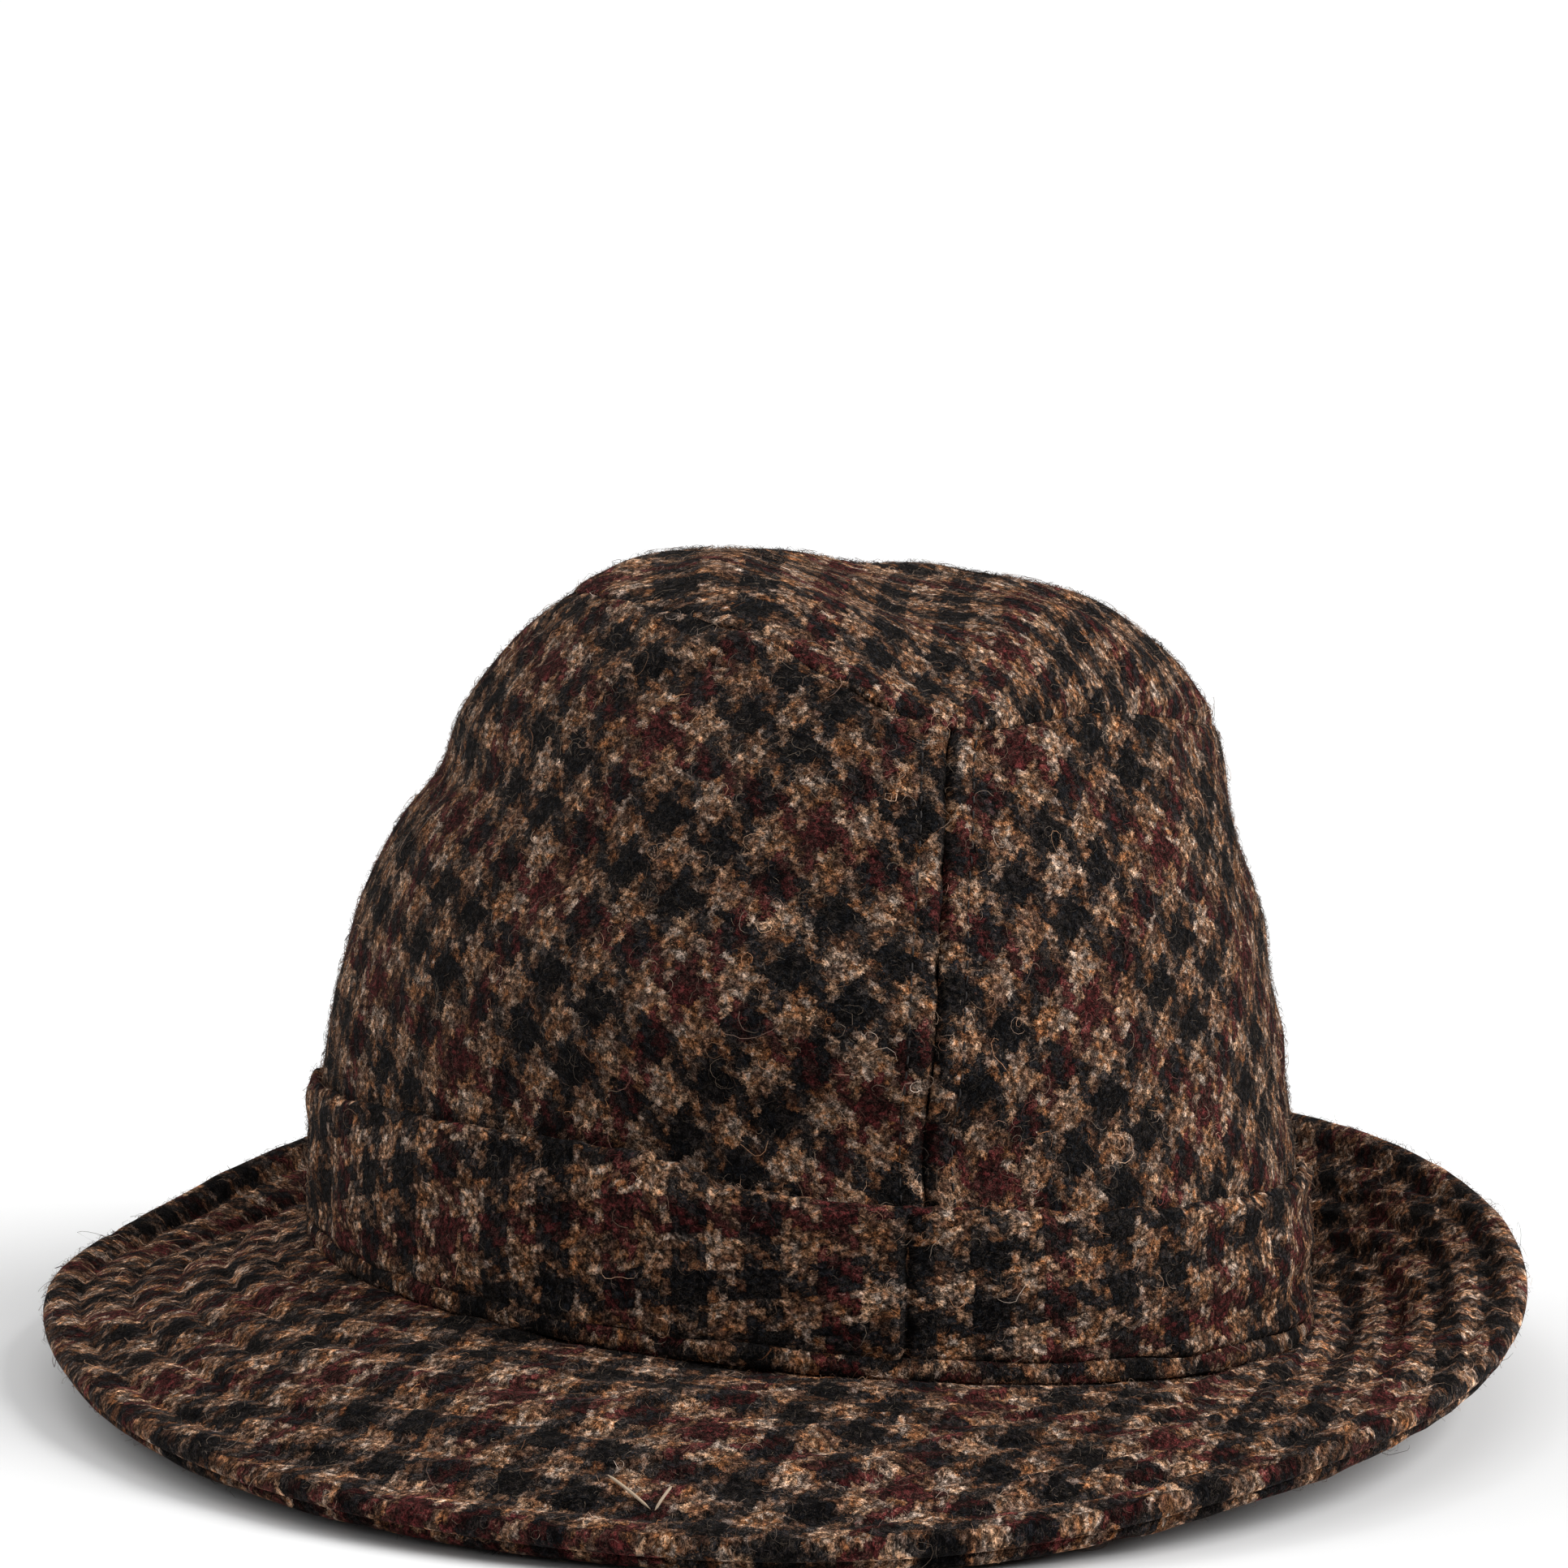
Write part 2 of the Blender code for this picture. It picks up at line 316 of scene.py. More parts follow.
@dataclass(frozen=True)
class BrimSizes:
    """Sizes of the brim and how the hat stands on it."""

    front_reach: float = 0.0456
    side_reach: float = 0.0425
    back_reach: float = 0.0388
    plan_shift: float = -0.0050
    edge_curl: float = 0.0260
    fullness: float = 1.35
    cloth: float = 0.0020
    lip: float = 0.0024
    lean_side: float = math.radians(4.87)
    lean_back: float = math.radians(1.76)
    seam_height: float = 0.0142
    # edge height, slope at crown, slope at edge, every 30 degrees from the back
    rows: tuple[tuple[float, ...], ...] = (
        (0.88, -50.0, 50.0),
        (0.84, -46.0, 46.0),
        (0.50, -26.0, 22.0),
        (0.43, -14.0, -6.0),
        (0.245, -8.0, -22.0),
        (0.150, -6.0, -26.0),
        (0.145, -8.0, -26.0),
        (0.370, -8.0, -24.0),
        (0.590, -8.0, -16.0),
        (0.900, -14.0, 22.0),
        (1.045, -30.0, 44.0),
        (0.900, -38.0, 48.0),
    )


@dataclass
class HatForm:
    """The smooth surfaces that all pieces of the hat follow."""

    crown: CrownSizes = CrownSizes()
    band: BandSizes = BandSizes()
    brim: BrimSizes = BrimSizes()
    steps_around: int = 72
    steps_tip: int = 6
    seam_step: float = 0.012
    profile_steps: int = 2001
    track_steps: int = 400
    fine_reach: float = 0.0045

    def __post_init__(self) -> None:
        """Work out the tables that the shape is read from."""
        self.set_down = np.zeros(3)
        self._levels = np.array(self.crown.levels)
        self._rows = np.array(self.brim.rows)
        self._places = np.linspace(0.0, 1.0, self.profile_steps)
        self._shares = self.level(0, self._places)
        side = Matrix.Rotation(self.brim.lean_side, 3, "Y")
        back = Matrix.Rotation(-self.brim.lean_back, 3, "X")
        self._lean = np.array(back @ side)

    def seat(self, tip_high: Vector) -> None:
        """Find how far the solids were moved to stand on the ground.

        Args:
            tip_high: highest corner of the solid tip's box.
        """
        angles = ring_angles(self.steps_around)
        start = self.tip_seam_place(angles) + self.band.gap / self.crown.height
        rings = [0.0, 2 * self.seam_step] + [k / self.steps_tip for k in range(1, self.steps_tip)]
        points = [
            self.stand(self.crown_point(angles, start + (1.0 - start) * ring)) for ring in rings
        ]
        top = self.stand(self.crown_point(np.zeros(1), np.ones(1)))
        reach = np.concatenate(points + [top]).max(axis=0)
        self.set_down = np.array(tip_high) - reach

    def level(self, column: int, place: Array) -> Array:
        """Read a column of the crown's levels at places from foot to top."""
        last = len(self._levels) - 1
        return blend_rows(self._levels[:, column], np.clip(place, 0.0, 1.0) * last, False)

    def place_of_share(self, share: Array) -> Array:
        """Place on the crown's profile at a share of its height."""
        return np.interp(share, self._shares, self._places)

    def tip_seam_place(self, angle: Array) -> Array:
        """Place where the tip is sewn to the side panels.

        Args:
            angle: angles from the front.

        Returns:
            The places on the profile.
        """
        crown = self.crown
        share = crown.seam_share - crown.seam_tilt * np.sin(angle)
        share = share - crown.notch * bell(wrap(angle), crown.notch_spread)
        return self.place_of_share(share)

    def row_shares(
        self, side: float, low: float, high: float, coarse: float, fine: float
    ) -> Array:
        """Shares of the way between two places on the crown, close together near both.

        Args:
            side: angle of the line that is followed.
            low: first place.
            high: last place.
            coarse: step in the middle, in metres.
            fine: step near both places, in metres.

        Returns:
            The shares, from 0 to 1.
        """
        part = np.linspace(0.0, 1.0, self.track_steps)
        length = run_length(self.crown_point(side, low + (high - low) * part), 0)
        steps = graded(length[-1], coarse, fine, self.fine_reach)
        return np.interp(steps, length / length[-1], part)

    @staticmethod
    def section(
        angle: Array, width: Size, front: Size, back: Size, shift: Size, height: Size, proud: Size
    ) -> Array:
        """Points of level sections, pushed out along their outward direction.

        Args:
            angle: angles from the front.
            width: half widths.
            front: reaches towards the front.
            back: reaches towards the back.
            shift: sideways shifts.
            height: heights.
            proud: how far the points are pushed out.

        Returns:
            The points, in the hat's own upright frame.
        """
        length = np.where(np.cos(angle) > 0, front, back)
        out = np.stack([length * np.sin(angle), -width * np.cos(angle), 0 * angle], axis=-1)
        base = np.stack([width * np.sin(angle), -length * np.cos(angle), 0 * angle], axis=-1)
        base = base + unit(out) * np.asarray(proud)[..., None]
        lift = np.stack(np.broadcast_arrays(shift, 0 * angle, height), axis=-1)
        return base + lift

    def crown_point(self, angle: Size, place: Array, proud: Size = 0.0) -> Array:
        """Points of the crown's outer face, in the hat's own upright frame.

        Args:
            angle: angles from the front.
            place: places on the profile, from 0 at the foot to 1 at the top.
            proud: how far the points are pushed out.

        Returns:
            The points.
        """
        angle, place = np.broadcast_arrays(angle, place)
        crown = self.crown
        share = self.level(0, place)
        turned = angle + crown.twist * share * np.maximum(np.cos(angle), 0.0)
        dent = np.zeros(angle.shape)
        for dent_angle, dent_height, spread_round, spread_up, depth in crown.dents:
            side = wrap(angle - math.radians(dent_angle))
            round_bell = bell(side, math.radians(spread_round))
            dent += depth * crown.half_width * round_bell * bell(share - dent_height, spread_up)
        taper = 1.0 - crown.front_taper * share * np.cos(angle)
        point = self.section(
            turned,
            self.level(1, place) * crown.half_width * taper,
            self.level(3, place) * crown.half_front,
            self.level(4, place) * crown.half_back,
            self.level(2, place) * crown.half_width,
            share * crown.height,
            proud - dent,
        )
        behind = point[..., 1] + crown.crease_front
        along = np.where(behind > 0, bell(behind, crown.crease_length), 1.0)
        top = (share - crown.crease_foot) / (crown.crease_full - crown.crease_foot)
        near = np.clip(top, 0.0, 1.0) ** 2
        across = bell(point[..., 0], crown.crease_half_width)
        point[..., 2] -= crown.crease_depth * across * along * near
        return point

    def band_top(self, angle: Array) -> Array:
        """Height of the band's upper edge above the brim seam.

        Args:
            angle: angles from the front.

        Returns:
            The heights.
        """
        band = self.band
        turn = wrap(angle)
        climb = np.clip((turn - band.rise_start) / (band.step_angle - band.rise_start), 0.0, 1.0)
        fall = 1.0 / (1.0 + np.exp((turn - band.step_angle) / band.step_width))
        return band.height + band.rise * climb * fall

    def stand(self, point: Array) -> Array:
        """Turn points from the hat's upright frame into the frame of the solids."""
        raised = point @ self._lean.T
        return raised + np.array([0.0, 0.0, self.brim.seam_height]) + self.set_down

    def brim_root(self, angle: Array, lip: float) -> Array:
        """Points of the brim's level inner edge.

        Args:
            angle: angles from the front.
            lip: how far the edge is out from the crown.

        Returns:
            The points, in the frame of the solids.
        """
        crown = self.crown
        sizes = (crown.half_width, crown.half_front, crown.half_back)
        return self.stand(self.section(angle, *sizes, 0.0, 0.0, self.band.gap + lip))

    def brim_point(self, angle: Array, share: Array) -> Array:
        """Points of the brim's upper face.

        Args:
            angle: angles from the front.
            share: shares of the way out, from 0 outside the welt to 1 at the edge.

        Returns:
            The points, in the frame of the solids.
        """
        angle, share = np.broadcast_arrays(angle, share)
        crown, brim = self.crown, self.brim
        root = self.brim_root(angle, brim.lip)
        spot = (angle + math.pi) / (2 * math.pi) * len(self._rows)
        lift, leave_slope, arrive_slope = (
            blend_rows(self._rows[:, column], spot, True) for column in range(3)
        )
        edge = self.set_down + self.section(
            angle,
            crown.half_width + brim.side_reach,
            crown.half_front + brim.front_reach,
            crown.half_back + brim.back_reach,
            brim.plan_shift,
            lift * brim.edge_curl,
            0.0,
        )
        span = edge - root
        outward = unit(span * np.array([1.0, 1.0, 0.0]))
        length = (np.linalg.norm(span, axis=-1) * brim.fullness)[..., None]
        up = np.array([0.0, 0.0, 1.0])

        def heading(slope: Array) -> Array:
            """Slope of the curve across the brim, from its angle in degrees."""
            turn = np.radians(slope)[..., None]
            return (outward * np.cos(turn) + up * np.sin(turn)) * length

        return hermite(root, heading(leave_slope), edge, heading(arrive_slope), share[..., None])


# Meshes from grids of points


@dataclass
class Sheet:
    """Grid of points with the place of each point on its flat piece of cloth.

    The cloth grid may have one row or column more than the points, where the sheet is
    closed and the cloth goes on past its seam.
    """

    points: Array
    cloth: Array

    def normals(self) -> Array:
        """Outward directions at the points of the grid.

        Returns:
            The directions, going on round where the sheet is closed.
        """
        along, across = (
            np.roll(self.points, -1, axis=axis) - np.roll(self.points, 1, axis=axis)
            if self.cloth.shape[axis] > self.points.shape[axis]
            else np.gradient(self.points, axis=axis)
            for axis in (0, 1)
        )
        return unit(np.cross(across, along))

    def push(self, distance: Array) -> None:
        """Move the points outwards."""
        self.points = self.points + self.normals() * distance[..., None]

    def mesh(self, name: str) -> bpy.types.Mesh:
        """Make the grid into a mesh with its cloth map.

        Args:
            name: name of the mesh.

        Returns:
            The mesh, smooth shaded.
        """
        rows, columns = self.points.shape[:2]
        map_rows, map_columns = self.cloth.shape[:2]
        row, column = np.meshgrid(
            np.arange(map_rows - 1), np.arange(map_columns - 1), indexing="ij"
        )
        corners = [(0, 0), (0, 1), (1, 1), (1, 0)]
        faces = np.stack(
            [((row + up) % rows) * columns + (column + side) % columns for up, side in corners],
            axis=-1,
        ).reshape(-1, 4)
        places = np.stack(
            [self.cloth[row + up, column + side] for up, side in corners], axis=2
        ).reshape(-1, 2)
        return quad_mesh(name, self.points.reshape(-1, 3), faces, {CLOTH_MAP: places})


def quad_mesh(
    name: str, points: Array, faces: Array, maps: dict[str, Array]
) -> bpy.types.Mesh:
    """Make a mesh of four-sided faces.

    Args:
        name: name of the mesh.
        points: the vertices.
        faces: four vertex numbers for each face.
        maps: UV maps by name, with a pair for each corner of each face.

    Returns:
        The mesh, smooth shaded.
    """
    data = bpy.data.meshes.new(name)
    data.vertices.add(len(points))
    data.vertices.foreach_set("co", points.astype(np.float32).ravel())
    data.loops.add(faces.size)
    data.loops.foreach_set("vertex_index", faces.astype(np.int32).ravel())
    data.polygons.add(len(faces))
    data.polygons.foreach_set("loop_start", np.arange(0, faces.size, 4, dtype=np.int32))
    for title, places in maps.items():
        layer = data.uv_layers.new(name=title)
        layer.data.foreach_set("uv", places.astype(np.float32).ravel())
    data.update(calc_edges=True)
    data.validate()
    data.shade_smooth()
    return data


def tube_mesh(
    name: str, spines: Array, ups: Array, thick: Array, sides: int = 6
) -> bpy.types.Mesh:
    """Make round threads with as many rows each.

    Args:
        name: name of the mesh.
        spines: points along each thread.
        ups: directions across each thread.
        thick: radius at each row.
        sides: corners of the round section.

    Returns:
        The mesh.
    """
    ahead = unit(np.gradient(spines, axis=1))
    side = unit(np.cross(ups, ahead))
    turn = (np.arange(sides) / sides * 2 * math.pi)[:, None]
    spread = side[:, :, None, :] * np.cos(turn) + ups[:, :, None, :] * np.sin(turn)
    points = spines[:, :, None, :] + spread * thick[:, None, None]
    count, rows = points.shape[:2]
    start = (np.arange(count) * rows * sides)[:, None, None]
    row = (np.arange(rows - 1) * sides)[None, :, None]
    here = np.arange(sides)[None, None, :]
    beside = (here + 1) % sides
    corners = (row + here, row + beside, row + sides + beside, row + sides + here)
    faces = np.stack([start + corner for corner in corners], axis=-1).reshape(-1, 4)
    return quad_mesh(name, points.reshape(-1, 3), faces, {CLOTH_MAP: np.zeros((faces.size, 2))})


def join_poles(data: bpy.types.Mesh) -> None:
    """Join the points of a mesh that lie in one place.

    Args:
        data: the mesh, which is changed.
    """
    work = bmesh.new()
    work.from_mesh(data)
    bmesh.ops.remove_doubles(work, verts=work.verts, dist=1e-6)
    work.to_mesh(data)
    work.free()
    data.shade_smooth()


def read_mesh(items: bpy.types.bpy_prop_collection, title: str, width: int, kind: type) -> Array:
    """Values of one attribute of a mesh's vertices, corners or triangles.

    Args:
        items: the vertices, corners or triangles.
        title: name of the attribute.
        width: how many numbers each of them has.
        kind: type of the numbers.

    Returns:
        The numbers, with a row for each.
    """
    values = np.zeros(len(items) * width, kind)
    items.foreach_get(title, values)
    return values.reshape(-1, width)


def add_object(name: str, data: bpy.types.ID) -> bpy.types.Object:
    """Put an object into the scene.

    Args:
        name: name of the object.
        data: its mesh, light or camera.

    Returns:
        The object.
    """
    made = bpy.data.objects.new(name, data)
    bpy.context.scene.collection.objects.link(made)
    return made


def place_piece(
    name: str, data: bpy.types.Mesh, material: bpy.types.Material
) -> bpy.types.Object:
    """Put a mesh into the scene as a piece of the hat.

    Args:
        name: name of the piece.
        data: its mesh.
        material: its finish.

    Returns:
        The piece, riding on the hat's body.
    """
    data.materials.append(material)
    piece = add_object(name, data)
    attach(piece, "root")
    triangles = len(data.loops) - 2 * len(data.polygons)
    LOG.info("%s: %d triangles before its thickness", name, triangles)
    return piece


# Shader nodes


class Wire:
    """Output of a node that is added, multiplied and so on like a number."""

    def __init__(self, sketch: Sketch, socket: bpy.types.NodeSocket) -> None:
        """Keep the output and the sketch that it is in."""
        self.sketch = sketch
        self.socket = socket

    def __add__(self, other: object) -> Wire:
        """Sum."""
        return self.sketch.math("ADD", self, other)

    def __sub__(self, other: object) -> Wire:
        """Difference."""
        return self.sketch.math("SUBTRACT", self, other)

    def __rsub__(self, other: object) -> Wire:
        """Difference from a plain number."""
        return self.sketch.math("SUBTRACT", other, self)

    def __mul__(self, other: object) -> Wire:
        """Product."""
        return self.sketch.math("MULTIPLY", self, other)

    def __truediv__(self, other: object) -> Wire:
        """Quotient."""
        return self.sketch.math("DIVIDE", self, other)


class Sketch:
    """Short way to write nodes into a tree."""

    def __init__(self, tree: bpy.types.NodeTree) -> None:
        """Keep the tree that the nodes go into."""
        self.tree = tree

    def feed(self, socket: bpy.types.NodeSocket, value: object) -> None:
        """Link a socket, or set its value.

        Args:
            socket: the input.
            value: a wire, a number, or a tuple of numbers.
        """
        if isinstance(value, Wire):
            self.tree.links.new(value.socket, socket)
        elif socket.type == "RGBA" and len(value) == 3:
            socket.default_value = (*value, 1.0)
        else:
            socket.default_value = value

    def wire(
        self, kind: str, inputs: dict[int | str, object], output: int | str = 0, **settings: object
    ) -> Wire:
        """Add a node.

        Args:
            kind: type of the node.
            inputs: what goes into its sockets, by their numbers or names.
            output: number or name of the socket to go on with.
            settings: the node's properties.

        Returns:
            That output.
        """
        made = self.tree.nodes.new(kind)
        for name, value in settings.items():
            setattr(made, name, value)
        for key, value in inputs.items():
            self.feed(made.inputs[key], value)
        return Wire(self, made.outputs[output])

    def math(self, operation: str, first: object, second: object = 0.0) -> Wire:
        """Number from one or two numbers."""
        return self.wire("ShaderNodeMath", {0: first, 1: second}, operation=operation)

    def vector(self, operation: str, first: object, second: object) -> Wire:
        """Vector from two vectors."""
        return self.wire("ShaderNodeVectorMath", {0: first, 1: second}, operation=operation)

    def scale(self, first: object, factor: object) -> Wire:
        """Vector times a number."""
        inputs = {0: first, "Scale": factor}
        return self.wire("ShaderNodeVectorMath", inputs, operation="SCALE")

    def combine(self, *parts: Wire) -> Wire:
        """Vector from three numbers."""
        return self.wire("ShaderNodeCombineXYZ", dict(enumerate(parts)))

    def part(self, vector: object, axis: int) -> Wire:
        """One of the three numbers of a vector."""
        return self.wire("ShaderNodeSeparateXYZ", {0: vector}, axis)

    def pick(self, factor: object, low: object, high: object) -> Wire:
        """Number between two numbers."""
        return self.wire("ShaderNodeMix", {0: factor, 2: low, 3: high}, data_type="FLOAT")

    def mix(self, factor: object, low: object, high: object, blend: str = "MIX") -> Wire:
        """Colour between two colours."""
        inputs = {0: factor, 6: low, 7: high}
        return self.wire("ShaderNodeMix", inputs, 2, data_type="RGBA", blend_type=blend)

    def noise(
        self, place: object, scale: float, detail: float = 2.0, distortion: float = 0.0,
        output: str = "Fac",
    ) -> Wire:
        """Noise texture."""
        inputs = {"Vector": place, "Scale": scale, "Detail": detail, "Distortion": distortion}
        return self.wire("ShaderNodeTexNoise", inputs, output)

    def remap(self, value: object, low: float, high: float, to_low: float, to_high: float) -> Wire:
        """Smoothly bring a number from one range into another."""
        inputs = dict(enumerate((value, low, high, to_low, to_high)))
        return self.wire("ShaderNodeMapRange", inputs, interpolation_type="SMOOTHSTEP")

    def stray(self, place: object, reach: float, *settings: float) -> Wire:
        """Random move of up to about half the reach each way, from noise of these settings."""
        colour = self.noise(place, *settings, output="Color")
        return self.scale(self.vector("SUBTRACT", colour, (0.5, 0.5, 0.5)), reach)


class Yarn(Enum):
    """Colours of the cloth's yarns and of the loose fibres on it."""

    TAN = (0.1440, 0.0845, 0.0570)
    BEIGE = (0.2720, 0.1890, 0.1410)
    GOLD = (0.170, 0.076, 0.034)
    BROWN = (0.050, 0.0235, 0.0155)
    NAVY = (0.0055, 0.0062, 0.0075)
    CHARCOAL = (0.0138, 0.0120, 0.0120)
    BURGUNDY = (0.0560, 0.0108, 0.0108)
    MAROON = (0.0255, 0.0078, 0.0070)
    PALE = (0.3050, 0.2300, 0.1720)
    THREAD = (0.0140, 0.0105, 0.0095)
    STRAW = (0.380, 0.285, 0.195)


@dataclass(frozen=True)
class Threads:
    """How the threads lie at each point of the cloth."""

    place: Wire  # place on the cloth in millimetres
    aside: Wire  # thread count of the set on top
    ahead: Wire  # thread count of the set below
    luck: Wire  # a number of each float's own
    body: Wire  # swell of the float
    fibres: Wire  # grain of its twisted fibres


@dataclass(frozen=True)
class CheckWeave:
    """Shader group for a fulled twill with a small check of tan, blue-black and burgundy.

    The stripes run tan, black, tan, black, tan, burgundy, both up and across the cloth.
    """

    thread: float = 1.25
    threads_per_stripe: float = 4.0
    stripes: float = 6.0
    evenness: float = 0.21
    name: str = "fulled_check_twill"
    # how the threads stray: reach in millimetres, and settings of the noise
    sway: tuple[float, ...] = (2.6, 0.09)
    fray: tuple[float, ...] = (1.7, 0.50)
    fuzz: tuple[float, ...] = (1.7, 1.9, 3.0, 1.2)
    # light wool in warm and in cool places, and what shows between the threads
    warm: tuple[float, float, float] = (1.13, 0.965, 0.77)
    cool: tuple[float, float, float] = (0.93, 1.04, 1.14)
    gap_shade: tuple[float, float, float] = (0.26, 0.23, 0.24)
    # how strongly each field lightens and darkens the nap
    curl_contrast: float = 7.5
    fibre_contrast: float = 7.5
    tuft_contrast: float = 2.6
    patch_contrast: float = 0.9
    # the float's swell paints shade into the gaps between threads and a highlight on the middle of
    # each float
    painted_float_shade: float = 1.8
    strand_contrast: float = 1.2
    strand_cover: float = 0.085
    # size, turns, width and place of each sort of strand that lies over the threads
    strand_sorts: tuple[tuple[float, ...], ...] = (
        (0.34, 2.0, 0.050, 3.0), (0.60, 3.0, 0.090, 11.0), (0.95, 3.0, 0.130, 29.0),
    )

    def group(self) -> bpy.types.NodeTree:
        """Build the group once.

        Returns:
            The node group with the outputs Color and Height.
        """
        if self.name in bpy.data.node_groups:
            return bpy.data.node_groups[self.name]
        tree = bpy.data.node_groups.new(self.name, "ShaderNodeTree")
        for title, side, kind in (
            ("Cloth", "INPUT", "Vector"), ("Fulling", "INPUT", "Float"),
            ("Hairs", "INPUT", "Float"), ("Tone", "INPUT", "Float"),
            ("Matting", "INPUT", "Float"), ("Color", "OUTPUT", "Color"),
            ("Height", "OUTPUT", "Float"),
        ):
            tree.interface.new_socket(name=title, in_out=side, socket_type="NodeSocket" + kind)
        s = Sketch(tree)
        outputs = tree.nodes.new("NodeGroupInput").outputs
        place, fulling, hairs, level, matting = (Wire(s, outputs[k]) for k in range(5))
        threads = self.threads(s, place, fulling)
        colour = self.yarns(s, threads, matting)
        colour, height = self.nap(s, threads, colour, hairs, level)
        sink = tree.nodes.new("NodeGroupOutput")
        s.feed(sink.inputs[0], colour)
        s.feed(sink.inputs[1], height)
        return tree

    def placed(
        self, s: Sketch, fulling: float = 1.0, hairs: float = 1.0, tone: float = 1.0,
        matting: float = 0.0,
    ) -> tuple[Wire, Wire]:
        """Place the group in a material, on the mesh's cloth map.

        Args:
            s: the material's tree.
            fulling: how far the fulled threads stray.
            hairs: strength of the stray hairs.
            tone: overall lightness.
            matting: how far the nap hides single threads, from 0 to 1.

        Returns:
            Colour and height of the cloth.
        """
        inputs = {
            "Cloth": s.wire("ShaderNodeUVMap", {}, uv_map=CLOTH_MAP), "Fulling": fulling,
            "Hairs": hairs, "Tone": tone, "Matting": matting,
        }
        colour = s.wire("ShaderNodeGroup", inputs, "Color", node_tree=self.group())
        return colour, Wire(s, colour.socket.node.outputs["Height"])

    def threads(self, s: Sketch, place: Wire, fulling: Wire) -> Threads:
        """Lay out the twill: which thread is on top, and where on its float a point is.

        Args:
            s: the tree to write into.
            place: place on the cloth in millimetres.
            fulling: how far the fulled threads stray.

        Returns:
            How the threads lie.
        """
        sway, fray, fuzz = (s.stray(place, *how) for how in (self.sway, self.fray, self.fuzz))
        loose = s.scale(s.vector("ADD", fray, fuzz), fulling)
        bent = s.vector("ADD", s.vector("ADD", place, sway), loose)
        count = s.scale(bent, 1.0 / self.thread)
        across, along = s.part(count, 0), s.part(count, 1)
        warp, weft = s.math("FLOOR", across), s.math("FLOOR", along)
        turn = s.math("FLOORED_MODULO", warp + weft, 4.0)
        warp_up = s.math("LESS_THAN", turn, 2.0)
        aside, ahead = s.pick(warp_up, along, across), s.pick(warp_up, across, along)
        centre = s.math("FRACT", aside) * 2.0 - 1.0
        middle = s.math("FLOORED_MODULO", turn, 2.0) + s.math("FRACT", ahead) - 1.0
        body = (1.0 - centre * centre) * (1.0 - middle * middle)
        own = s.combine(s.math("FLOOR", aside), s.math("FLOOR", (warp + weft) / 4.0), warp_up)
        luck = s.wire("ShaderNodeTexWhiteNoise", {"Vector": own}, noise_dimensions="3D")
        twisted = s.combine((aside + ahead) * 2.6, ahead * 0.9, luck * 9.0)
        fibres = s.noise(twisted, 1.0, 2.0, 0.5)
        return Threads(place, aside, ahead, luck, body, fibres)

    def yarns(self, s: Sketch, threads: Threads, matting: Wire) -> Wire:
        """Colour of the thread on top, with the mixed wool of each yarn.

        Args:
            s: the tree to write into.
            threads: how the threads lie.
            matting: how far the nap hides single threads, from 0 to 1.

        Returns:
            The colour.
        """
        place = threads.place
        wool = s.noise(place, 1.1, 3.0, 0.8)
        light = (wool - 0.54) * 2.2 + threads.luck * 0.90
        rust = s.remap(s.noise(place, 0.30, 3.0), 0.44, 0.60, 0.0, 0.90)
        lot = s.remap(s.noise(place, 0.50, 2.5, 0.8), 0.36, 0.64, 0.0, 1.0)
        tinge = s.mix(lot, self.warm, self.cool)
        tan = s.mix(rust, Yarn.TAN.value, Yarn.GOLD.value)
        tan = s.mix(s.remap(light, 0.35, 0.85, 0.0, 1.0), tan, Yarn.BEIGE.value)
        tan = s.mix(s.remap(light, -0.10, 0.30, 0.90, 0.0), tan, Yarn.BROWN.value)
        tan = s.mix(1.0, tan, tinge, "MULTIPLY")
        black = s.mix(s.remap(light, 0.30, 0.80, 0.0, 1.0), Yarn.NAVY.value, Yarn.CHARCOAL.value)
        wine = s.mix(s.remap(light, 0.05, 0.55, 1.0, 0.0), Yarn.BURGUNDY.value, Yarn.MAROON.value)
        colours, depths = [], []
        for count in (threads.aside, threads.ahead):
            repeat = self.threads_per_stripe * self.stripes
            thread = s.math("FLOORED_MODULO", s.math("FLOOR", count), repeat)
            stripe = s.math("FLOOR", thread / self.threads_per_stripe)
            dark = s.math("FLOORED_MODULO", stripe, 2.0)
            red = s.math("GREATER_THAN", stripe, self.stripes - 1.5)
            colours.append(s.mix(dark, tan, s.mix(red, black, wine)))
            depths.append(dark - red * 0.65)
        matted = s.noise(place, 1.5, 2.0, 1.4)
        mixed = s.mix(s.remap(matted, 0.50, 0.74, 0.01, 0.35), *colours)
        open_share = (1.0 - s.remap(matted, 0.30, 0.62, 0.95, 0.35)) * (1.0 - matting)
        covered = depths[1] * (1.0 - open_share)
        return s.mix(covered, mixed, s.mix(1.0, mixed, self.gap_shade, "MULTIPLY"))

